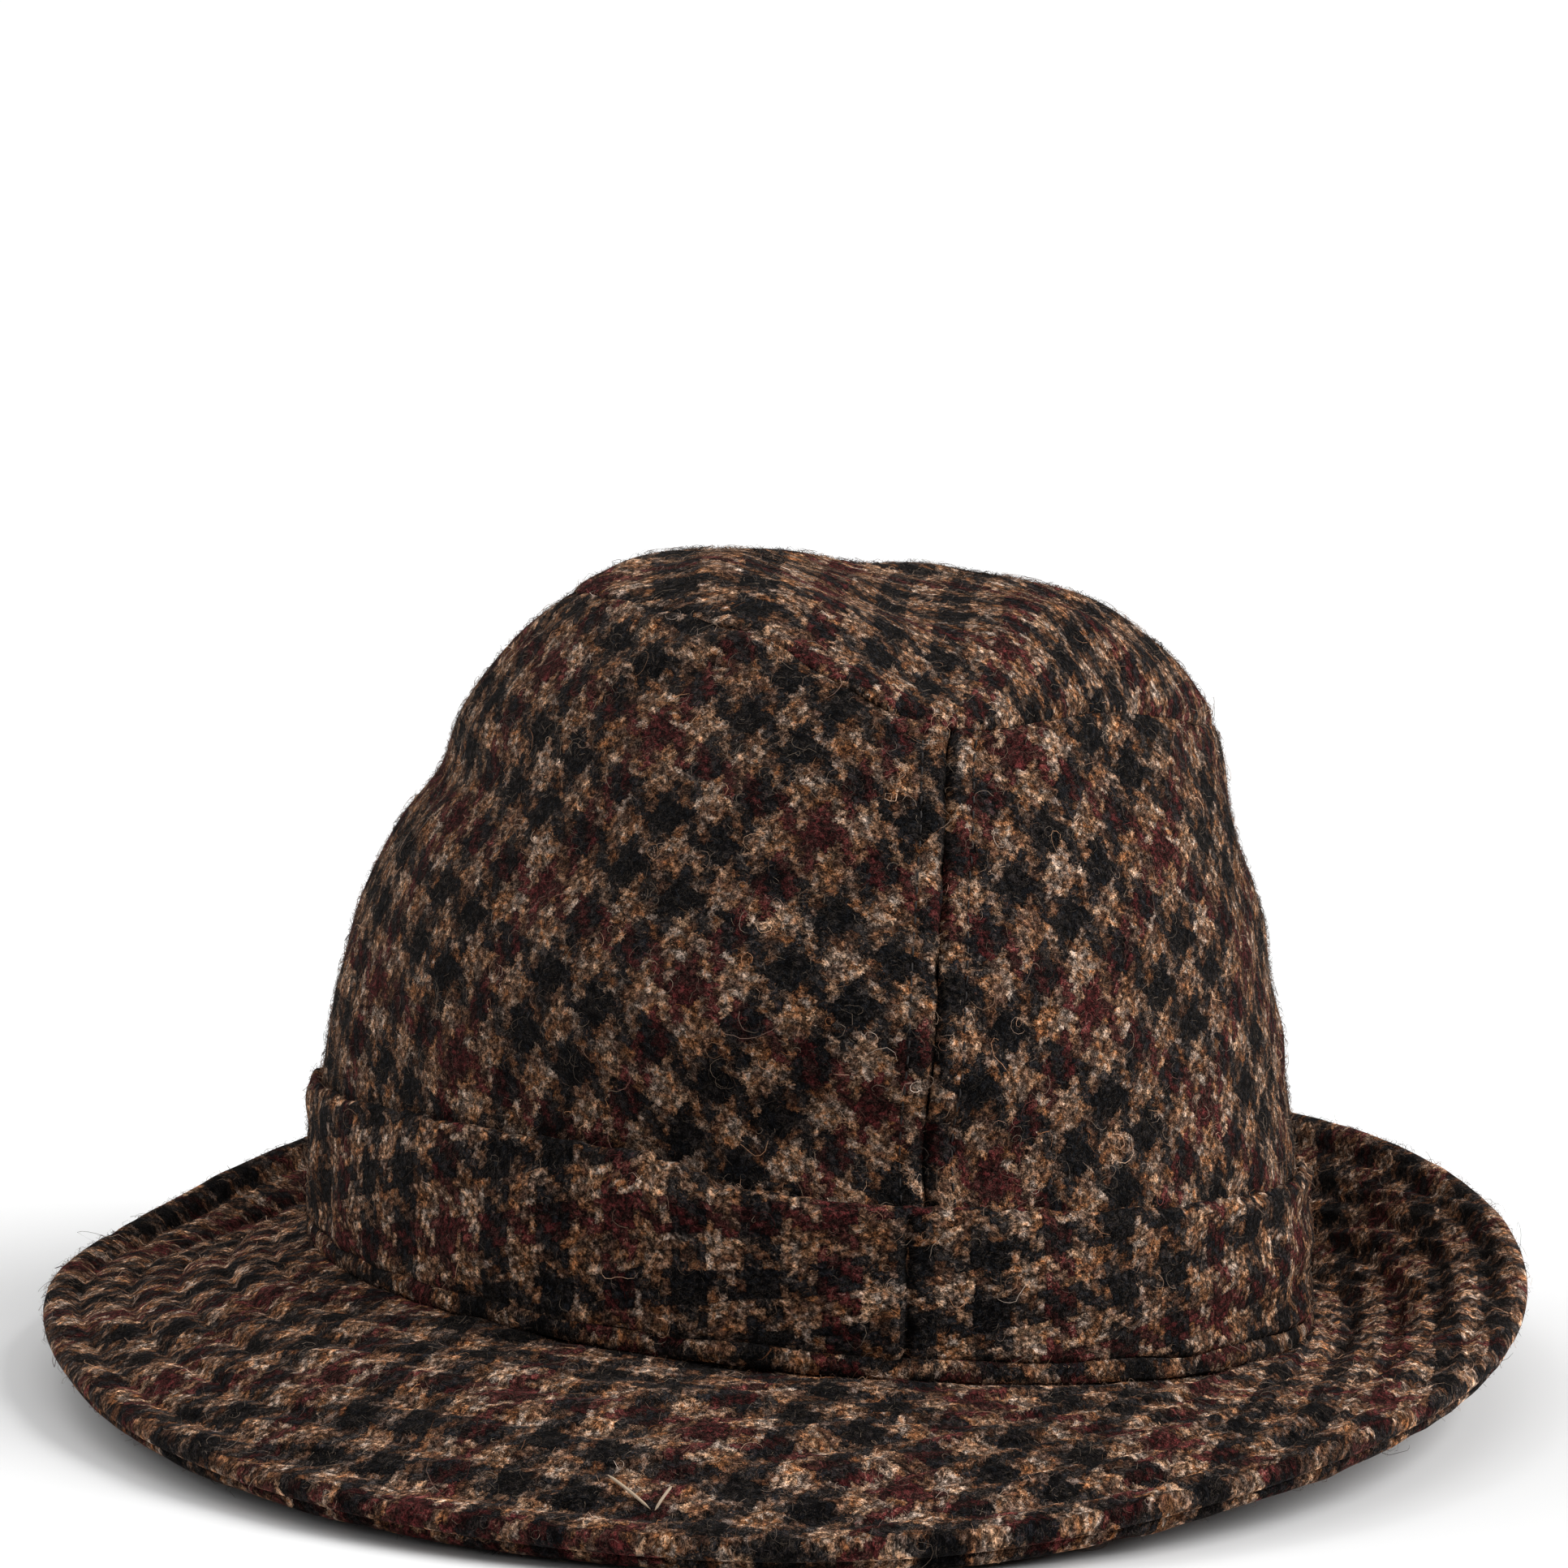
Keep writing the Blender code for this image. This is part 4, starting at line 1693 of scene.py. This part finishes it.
@dataclass
class BrimLayer(ClothPiece):
    """One quilted layer of the brim, rolled into the seam at its edge."""

    node: str = "brim_upper"
    cut: Cut = Cut(
        57.0, (6.3, 7.8), (1.020, 1.032), (-17.7, -79.0), -0.037,
        (0.031, 0.046, 0.011), (-0.064, -0.037, -0.008), limit=2.4,
    )
    layer: Layer = Layer.UPPER
    columns: int = 480
    face_step: float = 0.00072
    track_steps: int = 200
    hidden_count: int = 7
    roll_count: int = 8
    roll: float = 0.0024
    under_roll: float = 0.6
    root_gap: float = 0.0002
    rim_share: float = 0.45
    rim_width: float = 0.0060
    first_ring: float = 0.0064
    ring_pitch: float = 0.0085
    ring_count: int = 5
    ring_width: float = 0.00095
    ring_depth: float = 0.00079
    puff: float = 0.00050
    rim_puff: float = 0.00140
    rim_place: float = 0.40  # in distances of the first ring
    rim_spread: float = 0.42
    lump: float = 0.00035
    lump_fade: float = 0.004
    ring_fade: float = 0.003
    front_angle: float = math.radians(-12.0)
    front_spread: float = math.radians(48.0)
    front_calm: float = 0.62
    front_rim: float = 0.35

    def build(self) -> bpy.types.Object:
        """Make the layer as a closed ring of cloth.

        Returns:
            The piece.
        """
        form, upper = self.form, self.layer is Layer.UPPER
        sign = float(self.layer.value)
        angles = ring_angles(self.columns)
        fine = np.linspace(0.0, 1.0, self.track_steps)
        length = run_length(form.brim_point(angles, fine[:, None]), 0)
        width = length[-1]
        inner = np.linspace(1.0, 0.0, int(width.max() / self.face_step))
        share = np.stack([
            np.interp(inner * (reach - self.roll), track, fine)
            for reach, track in zip(width, length.T)
        ], axis=1)
        root = form.brim_root(angles, self.root_gap)
        face = np.concatenate([form.brim_point(angles, share), root[None]])
        from_edge = (1.0 - inner)[:, None] * (width - self.roll) + self.roll
        from_edge = np.concatenate([from_edge, (width + form.brim.lip)[None]])
        around = run_length(closed_ring(face), 1)[:, :-1]
        across = np.roll(face, -1, axis=1) - np.roll(face, 1, axis=1)
        up = unit(np.cross(across, np.gradient(face, axis=0)))
        outward = unit(face[0] - face[1])
        thick = form.brim.cloth + 0.5 * form.band.gap
        depth = 0.0 if upper else 2 * thick
        relief = self.quilting(angles, from_edge, around)[..., None]
        visible = face - up * depth + sign * up * relief
        rows = np.unique(np.linspace(0, len(face) - 1, self.hidden_count).round().astype(int))
        split = thick * (1.0 + self.rim_share * np.exp(-from_edge / self.rim_width))[..., None]
        hidden = (face - up * split)[rows]
        turn = np.linspace(0.0, math.pi, self.roll_count + 2)[1:-1, None, None]
        swing = 0.5 * (1.0 - np.cos(turn))
        out = self.roll * np.sin(turn) * (1.0 if upper else self.under_roll)
        fall = depth + (split[0] - depth) * swing
        bulge = sign * up[0] * relief[0] * (1.0 - swing)
        rolled = face[0] + outward * out - up[0] * fall + bulge
        if upper:
            points = np.concatenate([visible, hidden[::-1], rolled[::-1]])
        else:
            points = np.concatenate([hidden, visible[::-1], rolled])
        points[..., 2] = rest_on_ground(points[..., 2])
        sheet = Sheet(points, self.cloth_map(face, from_edge, rows))
        return self.dress(sheet.mesh(self.name))

    def quilting(self, angles: Array, from_edge: Array, around: Array) -> Array:
        """Height of the cloth between and on the stitched rings.

        Args:
            angles: angle of each column.
            from_edge: distance of each point from the brim's edge.
            around: distance round the brim.

        Returns:
            How far the cloth stands out or sinks in.
        """
        first, last = self.first_ring, self.first_ring + (self.ring_count - 1) * self.ring_pitch
        rings = sum(
            bell(from_edge - first - ring * self.ring_pitch, self.ring_width)
            for ring in range(self.ring_count)
        )
        inside = smooth_step(first, first + self.ring_fade, from_edge)
        inside = inside * (1.0 - smooth_step(last, last + self.ring_fade, from_edge))
        swell = np.sin(np.pi * (from_edge - first) / self.ring_pitch) ** 2 * inside
        front = bell(wrap(angles - self.front_angle), self.front_spread)
        rim = bell(from_edge - self.rim_place * first, self.rim_spread * first)
        lumps = soft_waves(around, from_edge, 0.026, 51)
        lumps = lumps + 0.6 * soft_waves(around, from_edge * 1.5, 0.010, 52)
        return (
            (1.0 - self.front_calm * front) * (self.puff * swell - self.ring_depth * rings)
            + self.rim_puff * (1.0 - self.front_rim * (1.0 - front)) * rim
            + self.lump * lumps * smooth_step(0.0, self.lump_fade, from_edge)
        )

    def cloth_map(self, face: Array, from_edge: Array, hidden_rows: Array) -> Array:
        """Places on the cloth, which is cut as a flat ring.

        Args:
            face: points of the brim's upper face.
            from_edge: distance of those points from the edge.
            hidden_rows: rows of the face that the hidden side has.

        Returns:
            The places, with one row and one column more than the points.
        """
        root, edges = closed_ring(face)[-1], closed_ring(from_edge)
        heading = unit(closed_ring(face)[0] - root) * np.array([1.0, 1.0, 0.0])
        heading = unit(heading)[:, :2]
        flat = root[:, :2] + heading * (edges[-1:] - edges)[..., None]
        # the cloth goes on round the edge, for up to twice the size of its roll
        beyond = 0.4 + 1.6 * (np.arange(self.roll_count) + 1) / self.roll_count
        rolled = flat[0] + heading * self.roll * beyond[:, None, None]
        hidden = flat[hidden_rows]
        if self.layer is Layer.UPPER:
            grid = np.concatenate([flat, hidden[::-1], rolled[::-1], flat[:1]])
        else:
            grid = np.concatenate([hidden, flat[::-1], rolled, rolled[-1:]])
        return self.cut.places(grid[..., 0], grid[..., 1])


@dataclass(frozen=True)
class FibreKind:
    """Sizes of one kind of loose fibre."""

    length: tuple[float, float]
    lift: tuple[float, float]
    curl: tuple[float, float]
    segments: int
    width: float
    palest: tuple[float, float]
    wobble: float = 0.35
    tip_width: float = 0.35
    spread: float = 0.25


FUZZ = FibreKind((0.0008, 0.0024), (0.00015, 0.00080), (0.0, 2.6), 2, 0.000085, (0.0, 1.0))
CURL = FibreKind((0.0028, 0.0075), (0.00020, 0.00085), (2.5, 8.0), 8, 0.000105, (0.5, 1.0))


@dataclass
class Nap:
    """Loose wool fibres that stand on a piece of cloth."""

    piece: bpy.types.Object
    node: str
    counts: dict[FibreKind, int]
    seed: int
    shown_side: int = 0  # 1 where only the upper side shows, -1 where only the lower one does
    side_fade: tuple[float, float] = (-0.35, 0.15)
    root_depth: float = 0.0001
    finish: FibreFinish = FibreFinish()

    def build(self) -> bpy.types.Object:
        """Make the fibres as one mesh of narrow ribbons.

        Returns:
            The piece.
        """
        rng = np.random.default_rng(self.seed)
        points, faces, cloths, owns, start = [], [], [], [], 0
        for kind, count in self.counts.items():
            grid, cloth = self.ribbons(kind, count, rng)
            rows, corners = kind.segments + 1, kind.segments * 4
            base = start + (np.arange(count) * rows * 2)[:, None]
            base = base + (np.arange(kind.segments) * 2)[None, :]
            faces.append(np.stack([base, base + 1, base + 3, base + 2], axis=-1).reshape(-1, 4))
            points.append(grid.reshape(-1, 3))
            cloths.append(np.repeat(cloth, corners, axis=0))
            tone = np.repeat(rng.uniform(*kind.palest, count), corners)
            owns.append(np.stack([tone, 0.5 + 0 * tone], axis=-1))
            start += count * rows * 2
        name = self.node + "_nap"
        maps = {CLOTH_MAP: np.concatenate(cloths), FIBRE_MAP: np.concatenate(owns)}
        data = quad_mesh(name, np.concatenate(points), np.concatenate(faces), maps)
        return place_piece(name, data, self.finish.material(name + "_wool"))

    def ribbons(
        self, kind: FibreKind, count: int, rng: np.random.Generator
    ) -> tuple[Array, Array]:
        """Lay fibres of one kind over the piece.

        Args:
            kind: sizes of the fibres.
            count: how many there are.
            rng: source of the random draws.

        Returns:
            Points, fibre by fibre, row by row and side by side, and places on the cloth.
        """
        root, normal, cloth = self.roots(rng, count)
        flat = unit(np.cross(normal, rng.normal(size=(count, 3))))
        side = np.cross(normal, flat)
        length = rng.uniform(*kind.length, count) * np.exp(rng.normal(0, kind.spread, count))
        lift = rng.uniform(*kind.lift, count)
        bend = rng.uniform(*kind.curl, count) * rng.choice([-1.0, 1.0], count)
        roll = rng.uniform(0, math.pi, count)[:, None]
        heading = np.zeros(count)
        spine, across = [root - normal * self.root_depth], []
        for step in range(kind.segments):
            share = (step + 0.5) / kind.segments
            ahead = flat * np.cos(heading)[:, None] + side * np.sin(heading)[:, None]
            climb = np.cos(math.pi * share) * math.pi / kind.segments
            move = ahead * (length / kind.segments)[:, None] + normal * (lift * climb)[:, None]
            spine.append(spine[-1] + move)
            across.append(np.cross(normal, unit(move)) * np.cos(roll) + normal * np.sin(roll))
            heading = heading + bend / kind.segments + rng.normal(0, kind.wobble, count)
        taper = np.linspace(1.0, kind.tip_width, kind.segments + 1)[:, None, None]
        middle = np.stack(spine)
        half = np.stack(across[:1] + across) * kind.width * taper * 0.5
        grid = np.stack([middle - half, middle + half], axis=2).swapaxes(0, 1)
        grid[..., 2] = np.maximum(grid[..., 2], 0.0)
        return grid, cloth

    def roots(self, rng: np.random.Generator, wanted: int) -> tuple[Array, Array, Array]:
        """Pick the places that the fibres grow from.

        Args:
            rng: source of the random places.
            wanted: how many places to pick.

        Returns:
            Points, outward directions and places on the cloth.
        """
        data = self.piece.data
        data.calc_loop_triangles()
        triangles, corners = (
            read_mesh(data.loop_triangles, title, 3, np.int32) for title in ("vertices", "loops")
        )
        spots = read_mesh(data.vertices, "co", 3, np.float32).astype(float)
        places = read_mesh(data.uv_layers[CLOTH_MAP].data, "uv", 2, np.float32).astype(float)
        a, b, c = (spots[triangles[:, k]] for k in range(3))
        facing = np.cross(b - a, c - a)
        area = 0.5 * np.linalg.norm(facing, axis=1)
        if self.shown_side:
            area = area * smooth_step(*self.side_fade, self.shown_side * unit(facing)[:, 2])
        chance = np.cumsum(area) / area.sum()
        chosen = np.searchsorted(chance, rng.uniform(0, 1, wanted))
        first = np.sqrt(rng.uniform(0, 1, wanted))
        second = rng.uniform(0, 1, wanted)
        weights = np.stack([1 - first, first * (1 - second), first * second], axis=-1)
        root, cloth = (
            sum(values[index[chosen, k]] * weights[:, k:k + 1] for k in range(3))
            for values, index in ((spots, triangles), (places, corners))
        )
        return root, unit(facing[chosen]), cloth


# Studio


def add_aimed(
    name: str, data: bpy.types.ID, place: tuple[float, float, float], ahead: Vector
) -> bpy.types.Object:
    """Add a light or a camera that looks in some direction.

    Args:
        name: name of the object.
        data: the light or the camera.
        place: where it is.
        ahead: where it looks.

    Returns:
        The object.
    """
    made = add_object(name, data)
    made.location = place
    made.rotation_euler = ahead.to_track_quat("-Z", "Y").to_euler()
    return made


@dataclass
class Studio:
    """Plain pale floor with soft light from the right and weaker light from above."""

    floor_tone: float = 0.80
    floor_reach: float = 60.0
    backdrop: float = 1.05
    ambient: float = 0.05
    # name, direction that the light comes from, strength and apparent width in degrees
    suns: tuple[tuple[str, tuple[float, float, float], float, float], ...] = (
        ("key_light", (0.75, -0.28, 0.62), 3.80, 45.0),
        ("back_light", (-0.50, 0.50, 0.70), 0.95, 50.0),
        ("top_light", (0.0, 0.01, 1.0), 0.95, 60.0),
        ("left_light", (-0.85, 0.15, 0.50), 0.78, 50.0),
    )

    def build(self) -> None:
        """Make the floor, the lights and the white surroundings."""
        self.floor()
        world = bpy.data.worlds.new("white_studio")
        bpy.context.scene.world = world
        world.use_nodes = True
        s = Sketch(world.node_tree)
        background = world.node_tree.nodes["Background"]
        s.feed(background.inputs[0], (1.0, 1.0, 1.0))
        seen = s.wire("ShaderNodeLightPath", {}, "Is Camera Ray")
        s.feed(background.inputs[1], s.pick(seen, self.ambient, self.backdrop))
        for name, source, power, spread in self.suns:
            light = bpy.data.lights.new(name, "SUN")
            light.energy = power
            light.angle = math.radians(spread)
            add_aimed(name, light, source, -Vector(source))
        bpy.context.scene.view_settings.view_transform = "Standard"

    def floor(self) -> None:
        """Wide level floor."""
        corners = np.array([(-1, -1, 0), (1, -1, 0), (1, 1, 0), (-1, 1, 0)]) * self.floor_reach
        data = bpy.data.meshes.new("floor")
        data.from_pydata(corners.tolist(), [], [(0, 1, 2, 3)])
        values = {"Base Color": (self.floor_tone,) * 3, "Roughness": 0.9}
        data.materials.append(new_material("matt_pale_floor", values)[0])
        floor = add_object("floor", data)


@dataclass
class ViewCamera:
    """Camera at the photograph's place."""

    place: tuple[float, float, float] = (-0.1094, -0.7204, 0.1683)
    heading: float = math.radians(-8.61)
    pitch: float = math.radians(-5.32)
    focal_pixels: float = 5177.0
    frame_pixels: float = 1932.0
    sensor: float = 36.0
    nearest: float = 0.05

    def build(self) -> None:
        """Make the camera and use it."""
        data = bpy.data.cameras.new("view_camera")
        data.sensor_width = self.sensor
        data.lens = self.focal_pixels / self.frame_pixels * self.sensor
        data.clip_start = self.nearest
        level = math.cos(self.pitch)
        ahead = Vector(
            (-math.sin(self.heading) * level, math.cos(self.heading) * level, math.sin(self.pitch))
        )
        bpy.context.scene.camera = add_aimed("view_camera", data, self.place, ahead)


def main() -> None:
    """Build the hat and its studio."""
    logging.basicConfig(level=logging.INFO, format="%(name)s: %(message)s")
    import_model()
    ViewCamera().build()
    Studio().build()
    form = HatForm()
    form.seat(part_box("crown_tip")[1])
    LOG.info("set down by %s", np.round(form.set_down, 5))
    left_cut = Cut(
        -49.5, (0.1, 6.4), (1.029, 1.066), (-90.7, 79.1), -0.082,
        (-0.027, -0.081, 0.052), (0.023, 0.036, -0.020),
    )
    right_cut = Cut(
        -10.0, (11.9, 3.9), (1.162, 1.005), (75.9, 81.3), 0.016,
        (0.007, -0.144, -0.020), (0.018, 0.022, 0.0),
    )
    # painted light: the left panel, on the lit side, is a little lighter, the right panel, on the
    # shaded side, darker, and the upward-facing tip lighter still
    lit_left_tweed = TweedFinish(fulling=0.95, tone=1.02)
    shaded_right_tweed = TweedFinish(fulling=1.15, tone=0.94)
    # the brim's colour gets a strong painted sheen at grazing angles
    brim_tweed = TweedFinish(fulling=0.9, matting=0.6, painted_sheen=0.80, relief=0.00045)
    # piece, its short and long fibres, and the side of it that shows, where only one does
    plan = (
        (CrownPanel(form, lit_left_tweed, "crown_side_left", left_cut, 1), 21000, 2600, 0),
        (CrownPanel(form, shaded_right_tweed, "crown_side_right", right_cut, -1), 21000, 2600, 0),
        (CrownTip(form, TweedFinish(fulling=0.85, tone=1.10)), 9000, 1100, 0),
        (HatBand(form, TweedFinish(fulling=0.55, tone=1.01)), 9500, 1300, 0),
        (BrimWelt(form, TweedFinish()), 2000, 200, 0),
        (BrimLayer(form, brim_tweed), 26000, 2200, 1),
        (BrimLayer(form, brim_tweed, "brim_under", layer=Layer.UNDER), 6000, 400, -1),
    )
    pieces = [cloth.build() for cloth, *_ in plan]
    for order, (piece, (cloth, fuzz, curls, side)) in enumerate(zip(pieces, plan)):
        Nap(piece, cloth.node, {FUZZ: fuzz, CURL: curls}, 100 + order, side).build()
        LOG.info("%s dressed", cloth.node)
    CoarseHair(form, ThreadFinish(Yarn.STRAW, 0.6)).build()
    bpy.context.view_layer.update()


if __name__ == "__main__":
    main()
